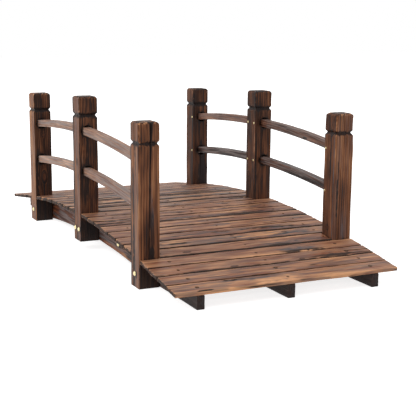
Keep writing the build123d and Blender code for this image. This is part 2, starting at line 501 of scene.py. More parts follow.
@dataclass(frozen=True)
class Check:
    """A drying check, which opens along the grain of one face."""

    face: Face
    start: float
    end: float
    across_start: float
    across_end: float
    width: float
    depth: float
    soot_width: float
    soot: float
    gape: float = 0.0  # how much wider it is near its upper end
    gape_from: float = 0.76  # share of its length at which that begins
    gape_over: float = 0.12  # and the share that it takes to get there
    taper: float = 7.0

    @classmethod
    def mm(cls, face: Face, *lengths: float, **how: float) -> "Check":
        """A check whose lengths are given in millimetres."""
        return cls(face, *(length * MM for length in lengths), **how)

    def gaping(self, along: Array) -> Array:
        share = (along - self.start) / (self.end - self.start)
        return 1 + self.gape * np.clip((share - self.gape_from) / self.gape_over, 0, 1)

    def line(self, along: Array, wander: Array) -> Array:
        """Where the check runs across its face at each place along the timber."""
        share = np.clip((along - self.start) / (self.end - self.start), 0, 1)
        return self.across_start + (self.across_end - self.across_start) * share + wander

    def opening(self, along: Array) -> Array:
        share = (along - self.start) / (self.end - self.start)
        return np.clip(np.minimum(share, 1 - share) * self.taper, 0, 1)


@dataclass(frozen=True)
class StainAndShading:
    """A long mark on a face: soot, a pale rubbed place, grey bloom, painted shade or a painted highlight.
    """

    face: Face
    start: float
    end: float
    across: float
    width: float
    soot: float = 0.0
    tint: float = 0.0
    bloom: float = 0.0
    CORE, TAIL = 0.6, 0.5  # shares of its half length at full strength, and over which it fades

    @classmethod
    def mm(cls, face: Face, start: float, end: float, across: float, width: float, **how: float) -> "StainAndShading":
        """A mark whose lengths are given in millimetres."""
        return cls(face, start * MM, end * MM, across * MM, width * MM, **how)

    def cover(self, along: Array, across: Array) -> Array:
        """Lays the mark on a face.

        Args:
            along: places along the timber.
            across: places across the face.

        Returns:
            How much of the mark lies at each place, from 0 to 1.
        """
        middle, reach = (self.start + self.end) / 2, (self.end - self.start) / 2
        far = np.clip((np.abs(along - middle) - reach * self.CORE) / (reach * self.TAIL), 0, None)
        return np.exp(-(((across - self.across) / self.width) ** 2) - far**2)


@dataclass(frozen=True)
class Chip:
    """A splinter broken out of face V_PLUS, with fresh wood in it."""

    along: float
    across: float
    length: float
    width: float
    depth: float = 1.2 * MM
    tint: float = 0.45
    ragged: float = 0.35  # how uneven its rim is
    steepness: float = 2.5  # of its sides

    def cover(self, along: Array, across: Array) -> Array:
        """Sinks the chip into its face.

        Args:
            along: places along the timber.
            across: places across the face.

        Returns:
            How far into the chip each place lies, from 0 at its rim to 1.
        """
        wave = np.sin(along / (2.3 * MM)) * np.cos(along / (4.1 * MM) + across / (1.7 * MM))
        far = ((along - self.along) / self.length * 2) ** 2 + ((across - self.across) / self.width * 2) ** 2
        return np.clip((1 - far * (1 + self.ragged * wave)) * self.steepness, 0, 1)


@dataclass(frozen=True)
class Straight:
    """A straight timber."""

    origin: Array
    along_axis: Array
    u_axis: Array
    v_axis: Array

    def place(self, along: Array, u: Array, v: Array) -> Array:
        """World points, one row each, for the timber's own coordinates."""
        points = self.origin + along[:, None] * self.along_axis + u[:, None] * self.u_axis
        return points + v[:, None] * self.v_axis

    def measure(self, points: Array) -> tuple[Array, Array, Array]:
        """The timber's own coordinates of world points."""
        offset = points - self.origin
        return offset @ self.along_axis, offset @ self.u_axis, offset @ self.v_axis


@dataclass(frozen=True)
class Arched:
    """A timber bent to a circle in an upright plane along the bridge.

    Its u axis lies along +Y and its v axis points out of the arch.
    """

    y: float
    centre: float
    radius: float

    def place(self, along: Array, u: Array, v: Array) -> Array:
        """World points, one row each, for the timber's own coordinates."""
        angle, reach = along / self.radius, self.radius + v
        return np.stack([reach * np.sin(angle), self.y + u, self.centre + reach * np.cos(angle)], axis=1)


@dataclass(frozen=True)
class Ring:
    """How the points lie round a timber's section: columns on each face, and steps round each corner."""

    columns: tuple[int, int, int, int]
    corner_steps: int = 3

    def layout(self) -> tuple[Array, Array, Array]:
        """Lays out the points in order round the section: across each face, then round the corner after it.

        Returns:
            The face that each point is on or follows; its share of the way across that face, or 1 on the
            corner; and its outward direction in radians.
        """
        faces, shares, angles = [], [], []
        for face in Face:
            count = self.columns[face.value]
            steps = self.corner_steps + 1
            faces += [face.value] * (count + steps)
            shares += [(column + 1) / (count + 1) for column in range(count)] + [1.0] * steps
            start = face.value * math.pi / 2
            angles += [start] * count
            angles += [start + step / self.corner_steps * math.pi / 2 for step in range(steps)]
        return np.array(faces), np.array(shares), np.array(angles)


@dataclass
class Timber:
    """One piece of scorched fir: a section carried along a path, figured like sawn wood and worn.

    The heart of the log lies at pith in the section's own coordinates, and pith_drift moves it from one end
    of the timber to the other, which draws the pointed arches of flat-sawn boards.
    """

    name: str
    nodes: tuple[str, ...]
    slot: str
    finish: Material
    path: Straight | Arched
    stations: Array
    half_u: Array
    half_v: Array
    middle_v: Array
    ring: Ring
    edge: Array
    under_edge: float = 1.0  # share of the edge radius that the corners under -v have
    pith: Pair = (12.0 * MM, -9.0 * MM)
    pith_drift: Pair = (0.0, 0.0)
    ring_pitch: float = 5.5 * MM
    ridge: float = 0.22 * MM  # height of the late-wood ridges that the brush leaves
    sway: float = 0.4 * MM  # slow unevenness of the faces
    ragged_end: float = 0.8 * MM
    chip: float = 2.5 * MM
    chipped_ends: bool = False
    tint: float = 0.0
    bloom: float = 0.6
    scorch: float = 0.0
    end_scorch: float = 0.3
    cut_scorch: float = 0.35  # soot on the sawn ends themselves
    edge_wear: float = 0.7
    face_tint: dict[Face, float] = field(default_factory=dict)
    face_bloom: dict[Face, float] = field(default_factory=dict)
    face_scorch: dict[Face, float] = field(default_factory=dict)
    knots: list[Knot] = field(default_factory=list)
    checks: list[Check] = field(default_factory=list)
    stains: list[StainAndShading] = field(default_factory=list)
    edge_soot_and_shade: dict[Face, float] = field(default_factory=dict)  # soot that creeps over a face's edges, and painted shade where it darkens the rails' lower edges and the planks' seams
    edge_share: float = 1.0  # how much of that soot and shade the middle of the face itself has
    edge_tint: dict[Face, float] = field(default_factory=dict)  # change of tone that spreads over them
    edge_rub_and_highlight: dict[Face, float] = field(default_factory=dict)  # rubbed wood that spreads over them, which along the planks' edges is painted highlight as well
    creep: float = 5.0 * MM  # how far they reach from the edge
    edge_waver: float = 0.0  # how unevenly they do
    end_rub: float = 0.0
    chips: list[Chip] = field(default_factory=list)
    dimples: list[Pair] = field(default_factory=list)  # along and across, in face V_PLUS
    dimple_radius: float = 5.2 * MM
    dimple_depth: float = 0.6 * MM
    # soot and painted shade in the screw dimples
    dimple_soot_and_shade: float = 0.5

    # How uneven the shape is. Each pitch is the length over which something changes
    EDGE_UNEVEN = 0.5
    EDGE_PITCH = 38 * MM
    HOLLOW_PITCH, DIP_PITCH = 85 * MM, 31 * MM
    LATE_FROM, LATE_RISE, LATE_FALL = 0.35, 0.5, 0.08  # of a growth ring
    KNOT_RISE = 0.5 * MM
    KNOT_COLLAR, KNOT_COLLAR_WIDTH = 0.75, 0.35  # in knot radii, where it stands highest and how widely
    KNOT_GROWTH = 9 * MM  # depth below the face that is worth one radius of a knot
    CHECK_WANDER, CHECK_PITCH = 0.9 * MM, 22 * MM
    CHECK_LEAST = 0.15 * MM
    CHECK_REACH = 15 * MM  # beyond a check's ends, over which the columns go back to their places
    SAW_PITCH, SAW_REACH = 6 * MM, 5 * MM
    CHIP_PITCH, CHIP_REACH = 9 * MM, 4 * MM
    CHIP_FROM = 0.25
    CAP_SHARES = (0.985, 0.93, 0.82, 0.64, 0.42, 0.2)  # sizes of the rings of points on a sawn end

    # How the grain runs
    BEND, BEND_WIDTH = 2.4 * MM, 60 * MM
    BEND_PITCHES = (170 * MM, 140 * MM)
    RIPPLE, RIPPLE_PITCH, RIPPLE_WIDTH = 0.7 * MM, 45 * MM, 14 * MM
    PARTING_DEPTH = 14 * MM  # below the face, over which the grain closes up again round a knot

    # How soot, wear and stains lie
    LICK, LICK_PITCH = 0.05, 60 * MM  # slow change of soot along and round the timber
    END_SOOT_REACH, END_RUB_REACH = 5 * MM, 3 * MM
    END_SKIN, END_RIM = 0.9 * MM, 1.2 * MM  # points this near an end, and so far from the faces, are on it
    RUB_MEAN, RUB_CHANGE, RUB_PITCH = 0.55, 0.45, 26 * MM
    RUB_REACH = 1.6 * MM
    EDGE_PATCH_MEAN, EDGE_PATCH_CHANGE, EDGE_PATCH_PITCH = 0.85, 0.5, 19 * MM
    EDGE_WAVER_PITCH = 13 * MM
    EDGE_SOOT_AND_SHADE_SHARE = 0.45  # of the creep that the soot and painted shade have
    EDGE_INLAND = 6 * MM  # how far from its edges the middle of a face begins
    STAIN_WANDER, STAIN_PITCH = 1.2 * MM, 40 * MM
    STAIN_PATCH, STAIN_PATCH_PITCH, STAIN_PATCH_WIDTH = 0.7, 11 * MM, 5 * MM
    KNOT_RINGS = 11.0  # turns of the tone for each radius of a knot, in radians
    KNOT_RINGS_END, KNOT_RIM, KNOT_RIM_WIDTH = 1.9, 1.1, 0.6  # in knot radii
    KNOT_RIM_SOOT = 0.1
    DIMPLE_SOOT_AND_SHADE_END = 1.35  # in dimple radii
    CHIP_FLECK_LENGTH, CHIP_FLECK_WIDTH = 4.5 * MM, 3 * MM
    CHIP_RIM_SOOT, CHIP_BARE = 0.5, 1.2  # soot on a chip's rim, and how much the fresh wood in it lacks
    NO_KNOT = 3.0  # in knot radii, far enough that nothing of a knot is left

    def __post_init__(self) -> None:
        """Draws the timber's own noise."""
        seed = seed_of(self.name)
        self.slow = Noise(seed)
        self.fine = Noise(seed + 1)
        self.offset = np.random.default_rng(seed + 2).uniform(0, 3, 3)

    def section_points(self) -> tuple[Array, Array, Array, Array]:
        """Points of every section before wear.

        Returns:
            u and v of each point, a row for each station, and those of each point's outward direction.
        """
        faces, shares, angles = self.ring.layout()
        normal_u, normal_v = np.cos(angles), np.sin(angles)
        sign_u, sign_v = np.array([1, -1, -1, 1]), np.array([1, 1, -1, -1])
        share_under = np.array([1.0, 1.0, self.under_edge, self.under_edge])
        corner = np.arange(4)[None, :] * 7.3
        wear = 1 + self.EDGE_UNEVEN * self.slow.at(self.stations[:, None] / self.EDGE_PITCH, corner)
        radii = self.edge[:, None] * share_under[None, :] * wear
        centre_u = sign_u * (self.half_u[:, None] - radii)
        centre_v = sign_v * (self.half_v[:, None] - radii)
        last = (faces - 1) % 4
        u = (centre_u[:, last] + radii[:, last] * normal_u) * (1 - shares)
        u += (centre_u[:, faces] + radii[:, faces] * normal_u) * shares
        v = (centre_v[:, last] + radii[:, last] * normal_v) * (1 - shares)
        v += (centre_v[:, faces] + radii[:, faces] * normal_v) * shares
        rows = len(self.stations)
        return u, v, np.tile(normal_u, (rows, 1)), np.tile(normal_v, (rows, 1))

    def open_checks(self, u: Array, v: Array) -> Array:
        """Moves the columns of a face onto its checks, and says how deep each point goes.

        Args:
            u, v: the points' own coordinates, changed in place.

        Returns:
            Depth of each point below its face.
        """
        faces, shares, _ = self.ring.layout()
        depth = np.zeros_like(u)
        for number, check in enumerate(self.checks):
            columns = np.flatnonzero((faces == check.face.value) & (shares < 1))
            across = check.face.sideways(u[:, columns], v[:, columns])
            wander = self.CHECK_WANDER * self.fine.at(self.stations / self.CHECK_PITCH, 11.0 + number)
            line = check.line(self.stations, wander)
            middle = np.argmin(np.abs(across - line[:, None]).mean(axis=0))
            middle = int(np.clip(middle, 1, len(columns) - 2))
            opening = check.opening(self.stations)
            pitch = across[:, 1] - across[:, 0]
            wide = check.width / 2 * opening * check.gaping(self.stations)
            half = np.where(opening > 0, np.maximum(wide, self.CHECK_LEAST), pitch)
            beyond = np.abs(self.stations - np.clip(self.stations, check.start, check.end))
            near = np.clip(1 - beyond / self.CHECK_REACH, 0, 1)
            shift = (line - across[:, middle]) * near
            order, last = np.arange(len(columns)), len(columns) - 1
            rise = np.minimum(order / middle, (last - order) / (last - middle))
            moved = across + shift[:, None] * rise[None, :]
            half = half * near + pitch * (1 - near)
            moved[:, middle - 1] = moved[:, middle] - half
            moved[:, middle + 1] = moved[:, middle] + half
            change = moved - across
            u[:, columns] += change * check.face.tangent[0]
            v[:, columns] += change * check.face.tangent[1]
            depth[:, columns[middle]] += check.depth * opening
        return depth

    def relief(self, along: Array, u: Array, v: Array) -> Array:
        """Height of the worn surface above the plain one.

        Args:
            along, u, v: the points' own coordinates.

        Returns:
            The height at each point, below zero nearly everywhere.
        """
        _, ring_u, ring_v = self.grain(along, u, v)
        phase = np.hypot(ring_u, ring_v) / self.ring_pitch % 1.0
        late = np.clip((phase - self.LATE_FROM) / self.LATE_RISE, 0, 1)
        late = late * np.clip((1 - phase) / self.LATE_FALL, 0, 1)
        turn = np.arctan2(v / self.half_v.max(), u / self.half_u.max()) * 3
        slow = self.slow.at(along / self.HOLLOW_PITCH, turn)
        slow = slow + 0.5 * self.slow.at(along / self.DIP_PITCH + 9, turn * 2.3)
        height = self.ridge * (late - 0.5) + self.sway * slow
        for knot in self.knots:
            reach = self.knot_reach(knot, along, u, v)
            height = height + self.KNOT_RISE * bell(reach - self.KNOT_COLLAR, self.KNOT_COLLAR_WIDTH)
        return height - self.ridge * 0.5 - self.sway

    def build(self) -> Object:
        """Builds, dresses and places the timber.

        Returns:
            The timber's object.
        """
        u, v, normal_u, normal_v = self.section_points()
        depth = self.open_checks(u, v)
        along = np.repeat(self.stations[:, None], u.shape[1], axis=1)
        height = self.relief(along, u, v)
        height[depth > 0] = 0
        height -= depth
        for chip in self.chips:
            height -= np.where((normal_v > 0.5) & (v > 0), chip.depth * chip.cover(along, -u), 0)
        for place, across in self.dimples:
            reach = np.hypot(along - place, u + across) / self.dimple_radius
            bowl = self.dimple_depth * np.clip(1 - reach**2, 0, 1) ** 0.6
            height -= np.where((normal_v > 0.9) & (v > 0), bowl, 0)
        u += normal_u * height
        v += normal_v * height
        self.wear_ends(along, u, v, normal_v)
        v += self.middle_v[:, None]
        middle = self.middle_v[:, None] + np.zeros_like(v)
        vertices, faces, own = self.close(along, u, v, middle)
        mesh = bpy.data.meshes.new(self.name)
        mesh.from_pydata(vertices.tolist(), [], faces)
        timber = add_object(self.name, mesh)
        self.finish_object(timber, own)
        return timber

    def wear_ends(self, along: Array, u: Array, v: Array, normal_v: Array) -> None:
        """Roughens the sawn ends and breaks chips out of their edges.

        Args:
            along, u, v: the points' own coordinates; along and v are changed in place.
            normal_v: v of each point's outward direction.
        """
        for end, way in ((0, 1), (-1, -1)):
            distance = np.abs(self.stations - self.stations[end])[:, None]
            turn = np.arctan2(v[end] / self.half_v[end], u[end] / self.half_u[end])
            reach = (u[end] + v[end]) / self.SAW_PITCH
            rough = self.fine.at(reach, 3.0 + end + turn * 2) * 0.5 + 0.5
            along += way * self.ragged_end * rough[None, :] * fade(distance, self.SAW_REACH)
            if self.chipped_ends:
                bite = self.fine.at(u[end] / self.CHIP_PITCH, 31.0 + 5 * end) - self.CHIP_FROM
                bite = np.clip(bite, 0, 1) * (normal_v[end] > 0.3)
                along += way * self.chip * bite[None, :] * bell(distance, self.CHIP_REACH)
                v -= 0.5 * self.chip * bite[None, :] * fade(distance, self.CHIP_REACH) * (v > 0)

    def close(
        self, along: Array, u: Array, v: Array, middle: Array
    ) -> tuple[Array, list[list[int]], Array]:
        """Joins the sections into a closed skin.

        Args:
            along, u, v: the points' own coordinates, a row for each section.
            middle: v of the middle of each point's section.

        Returns:
            World points; faces; and the timber's own coordinates of each point.
        """
        rows, columns = u.shape
        blocks = [np.stack([along, u, v], axis=-1).reshape(-1, 3)]
        faces = []
        ring = np.arange(columns)
        after = (ring + 1) % columns
        for row in range(rows - 1):
            low, high = row * columns, (row + 1) * columns
            faces += np.stack([low + ring, low + after, high + after, high + ring], axis=1).tolist()
        count = rows * columns
        for end in (0, -1):
            base = 0 if end == 0 else (rows - 1) * columns
            edge = base + ring
            for share in self.CAP_SHARES:
                flat = along[end].mean() * (1 - share) + along[end] * share
                inner_v = middle[end] + (v[end] - middle[end]) * share
                blocks.append(np.stack([flat, u[end] * share, inner_v], axis=-1))
                new = count + ring
                pairs = [edge, edge[after], new[after], new]
                if end == 0:
                    pairs.reverse()
                faces += np.stack(pairs, axis=1).tolist()
                edge = new
                count += columns
            blocks.append(np.array([[along[end].mean(), 0.0, middle[end].mean()]]))
            centre = np.full(columns, count)
            pairs = [edge, edge[after], centre] if end else [centre, edge[after], edge]
            faces += np.stack(pairs, axis=1).tolist()
            count += 1
        own = np.concatenate(blocks)
        return self.path.place(own[:, 0], own[:, 1], own[:, 2]), faces, own

    def from_knot(self, knot: Knot, u: Array, v: Array) -> tuple[Array, Array]:
        """Where points lie from a knot: across its face, and how deep below that."""
        half = self.half_u.max() if knot.face.normal[0] else self.half_v.max()
        return knot.face.sideways(u, v) - knot.across, np.clip(half - knot.face.outward(u, v), 0, None)

    def knot_reach(self, knot: Knot, along: Array, u: Array, v: Array) -> Array:
        """Distance of each point from a knot's middle, growing with depth below its face.

        Args:
            knot: the knot.
            along, u, v: the points' own coordinates.

        Returns:
            The distance in knot radii.
        """
        across, depth = self.from_knot(knot, u, v)
        flat = np.hypot((along - knot.along) / knot.stretch, across) / knot.radius
        return flat + depth / self.KNOT_GROWTH

    def grain(self, along: Array, u: Array, v: Array) -> tuple[Array, Array, Array]:
        """Where each point lay in the log: along its heart, and across from it.

        Args:
            along, u, v: the points' own coordinates.

        Returns:
            Coordinates along and across the log, with the grain parted round the knots.
        """
        length = self.stations[-1] - self.stations[0]
        share = (along - self.stations[0]) / length
        ring_u = u - self.pith[0] - self.pith_drift[0] * share
        ring_v = v - self.pith[1] - self.pith_drift[1] * share
        ring_v += np.interp(along, self.stations, self.middle_v)
        pitch_u, pitch_v = self.BEND_PITCHES
        ring_u += self.BEND * self.slow.at(along / pitch_u, 3.3 + v / self.BEND_WIDTH)
        ring_v += self.BEND * self.slow.at(along / pitch_v, 8.8 + u / self.BEND_WIDTH)
        ripple = along / self.RIPPLE_PITCH
        ring_u += self.RIPPLE * self.fine.at(ripple, v / self.RIPPLE_WIDTH)
        ring_v += self.RIPPLE * self.fine.at(ripple + 20, u / self.RIPPLE_WIDTH)
        for knot in self.knots:
            across, depth = self.from_knot(knot, u, v)
            reach = np.maximum(((along - knot.along) / knot.stretch) ** 2 + across**2, knot.radius**2)
            parted = -across * knot.radius**2 / reach * fade(depth, self.PARTING_DEPTH)
            ring_u += parted * knot.face.tangent[0]
            ring_v += parted * knot.face.tangent[1]
        return along, ring_u, ring_v

    def marks(self, along: Array, u: Array, v: Array) -> Marks:
        """How much char and painted shade, wear, paleness, bloom and painted sheen, and knot each point
        has.

        Args:
            along, u, v: the points' own coordinates.

        Returns:
            The value of each attribute at each point.
        """
        half_u = np.interp(along, self.stations, self.half_u)
        half_v = np.interp(along, self.stations, self.half_v)
        gap_u, gap_v = half_u - np.abs(u), half_v - np.abs(v)
        ends = np.minimum(along - self.stations[0], self.stations[-1] - along)
        on_end = np.clip(1 - ends / self.END_SKIN, 0, 1) * (np.minimum(gap_u, gap_v) > self.END_RIM)
        facing = {
            Face.U_PLUS: (u > 0) & (gap_u <= gap_v), Face.U_MINUS: (u < 0) & (gap_u <= gap_v),
            Face.V_PLUS: (v > 0) & (gap_v < gap_u), Face.V_MINUS: (v < 0) & (gap_v < gap_u),
        }
        inland = np.maximum(gap_u, gap_v)
        rub = self.fine.at(along / self.RUB_PITCH, np.sign(u) * 3 + np.sign(v) * 5)
        marks = {
            "scorch": np.full(along.shape, self.scorch),
            "worn": self.edge_wear * (self.RUB_MEAN + self.RUB_CHANGE * rub) * fade(inland, self.RUB_REACH),
            "tint": np.full(along.shape, self.tint),
            "bloom": np.full(along.shape, self.bloom),
        }
        for face, points in facing.items():
            marks["scorch"] += points * self.face_scorch.get(face, 0.0)
            marks["tint"] += points * self.face_tint.get(face, 0.0)
            marks["bloom"] += points * self.face_bloom.get(face, 0.0)
        lick = self.slow.at(along / self.LICK_PITCH + 40, np.arctan2(v, u) * 1.3)
        marks["scorch"] += self.LICK * lick
        end_soot = self.end_scorch * fade(ends, self.END_SOOT_REACH)
        marks["scorch"] += end_soot + self.cut_scorch * on_end
        for face in Face:
            reach = (half_u if face.normal[0] else half_v) - face.outward(u, v)
            middle = np.clip(inland / self.EDGE_INLAND, 0, 1) * facing[face]
            self.mark_edge(marks, face, along, reach, middle)
        marks["worn"] += self.end_rub * fade(ends, self.END_RUB_REACH) * facing[Face.V_PLUS]
        self.mark_details(marks, facing, along, u, v)
        marks["knot"] = np.full(along.shape, self.NO_KNOT)
        for knot in self.knots:
            reach = self.knot_reach(knot, along, u, v)
            marks["knot"] = np.minimum(marks["knot"], reach)
            marks["scorch"] += self.KNOT_RIM_SOOT * bell(reach - self.KNOT_RIM, self.KNOT_RIM_WIDTH)
            rings = np.sin(reach * self.KNOT_RINGS) * np.clip(self.KNOT_RINGS_END - reach, 0, 1)
            marks["tint"] -= knot.rings * rings
        # Soot and painted shade in the screw dimples
        for place, across in self.dimples:
            reach = np.hypot(along - place, u + across) / self.dimple_radius
            soot = self.dimple_soot_and_shade * np.clip(self.DIMPLE_SOOT_AND_SHADE_END - reach, 0, 1) * facing[Face.V_PLUS]
            marks["scorch"] += soot
        marks["worn"] = np.clip(marks["worn"], 0, 1)
        return marks

    def mark_edge(self, marks: Marks, face: Face, along: Array, reach: Array, middle: Array) -> None:
        """Adds what creeps over the edges of a face.

        Args:
            marks: the marks so far, changed in place.
            face: the face.
            along: place along the timber.
            reach: distance of each point from the face.
            middle: how far each point is from the face's own edges, from 0 to 1.
        """
        reach = reach + self.edge_waver * self.fine.at(along / self.EDGE_WAVER_PITCH, 80.0 + face.value)
        reach = np.clip(reach, 0, None)
        patchy = self.fine.at(along / self.EDGE_PATCH_PITCH, 50.0 + face.value)
        patchy = self.EDGE_PATCH_MEAN + self.EDGE_PATCH_CHANGE * patchy
        near = patchy * bell(reach, self.creep)
        # Soot, which along the rails' lower edges and the planks' seams is painted shade as well
        soot = patchy * bell(reach, self.creep * self.EDGE_SOOT_AND_SHADE_SHARE)
        soot *= 1 - (1 - self.edge_share) * middle
        marks["worn"] += self.edge_rub_and_highlight.get(face, 0.0) * near
        marks["scorch"] += self.edge_soot_and_shade.get(face, 0.0) * soot
        marks["tint"] += self.edge_tint.get(face, 0.0) * near
        if face in self.edge_tint:
            marks["bloom"] *= 1 - 0.8 * np.clip(near, 0, 1)
        marks["worn"] *= np.clip(1 - 2 * self.edge_soot_and_shade.get(face, 0.0) * soot, 0, 1)

    def mark_details(
        self, marks: Marks, facing: dict[Face, Array], along: Array, u: Array, v: Array
    ) -> None:
        """Adds the stains and painted shading, fresh wood in the chips with a dark rim, and soot along the
        checks.

        Args:
            marks: the marks so far, changed in place.
            facing: which points are on each face.
            along, u, v: the points' own coordinates.
        """
        for stain in self.stains:
            lane = stain.across / MM
            wander = self.STAIN_WANDER * self.fine.at(along / self.STAIN_PITCH, 60.0 + lane)
            cover = stain.cover(along, stain.face.sideways(u, v) + wander) * facing[stain.face]
            patchy = self.fine.at(along / self.STAIN_PATCH_PITCH, (u + v) / self.STAIN_PATCH_WIDTH + lane)
            cover = cover * (1 + self.STAIN_PATCH * patchy)
            marks["scorch"] += stain.soot * cover
            marks["tint"] += stain.tint * cover
            marks["bloom"] += stain.bloom * cover
        for chip in self.chips:
            cover = chip.cover(along, -u) * facing[Face.V_PLUS]
            flecks = self.fine.at(along / self.CHIP_FLECK_LENGTH, u / self.CHIP_FLECK_WIDTH + 5)
            flecks = cover * np.clip(0.75 + 1.3 * flecks, 0, 1)
            rim = bell(cover - 0.45, 0.25) * facing[Face.V_PLUS]
            marks["scorch"] += self.CHIP_RIM_SOOT * rim - self.CHIP_BARE * flecks
            marks["tint"] += chip.tint * flecks
            marks["bloom"] *= 1 - cover
        for check in self.checks:
            across = check.face.sideways(u, v) - check.line(along, 0.0)
            band = bell(across, check.soot_width * check.gaping(along))
            band = band * np.clip(check.opening(along) * 2, 0, 1) * facing[check.face]
            marks["scorch"] += check.soot * band
            marks["worn"] *= 1 - band

    def finish_object(self, timber: Object, own: Array) -> None:
        """Writes the figure of the wood to the mesh, dresses it and puts it on the bridge.

        Args:
            timber: the timber's object.
            own: the timber's own coordinates of each vertex.
        """
        mesh = timber.data
        along, u, v = own[:, 0], own[:, 1], own[:, 2] - np.interp(own[:, 0], self.stations, self.middle_v)
        grain = np.stack(self.grain(along, u, v), axis=1)
        grain[:, 0] += self.offset[0]
        mesh.attributes.new("grain", "FLOAT_VECTOR", "POINT").data.foreach_set("vector", grain.ravel())
        for name, values in self.marks(along, u, v).items():
            mesh.attributes.new(name, "FLOAT", "POINT").data.foreach_set("value", values.astype(np.float32))
        mesh.materials.clear()
        mesh.materials.append(self.finish)
        mesh.shade_smooth()
        mesh.set_sharp_from_angle(angle=SMOOTHING_ANGLE)
        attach(timber, BODY)
        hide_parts(*self.nodes)
        log.info("%s: %d faces", self.name, len(mesh.polygons))


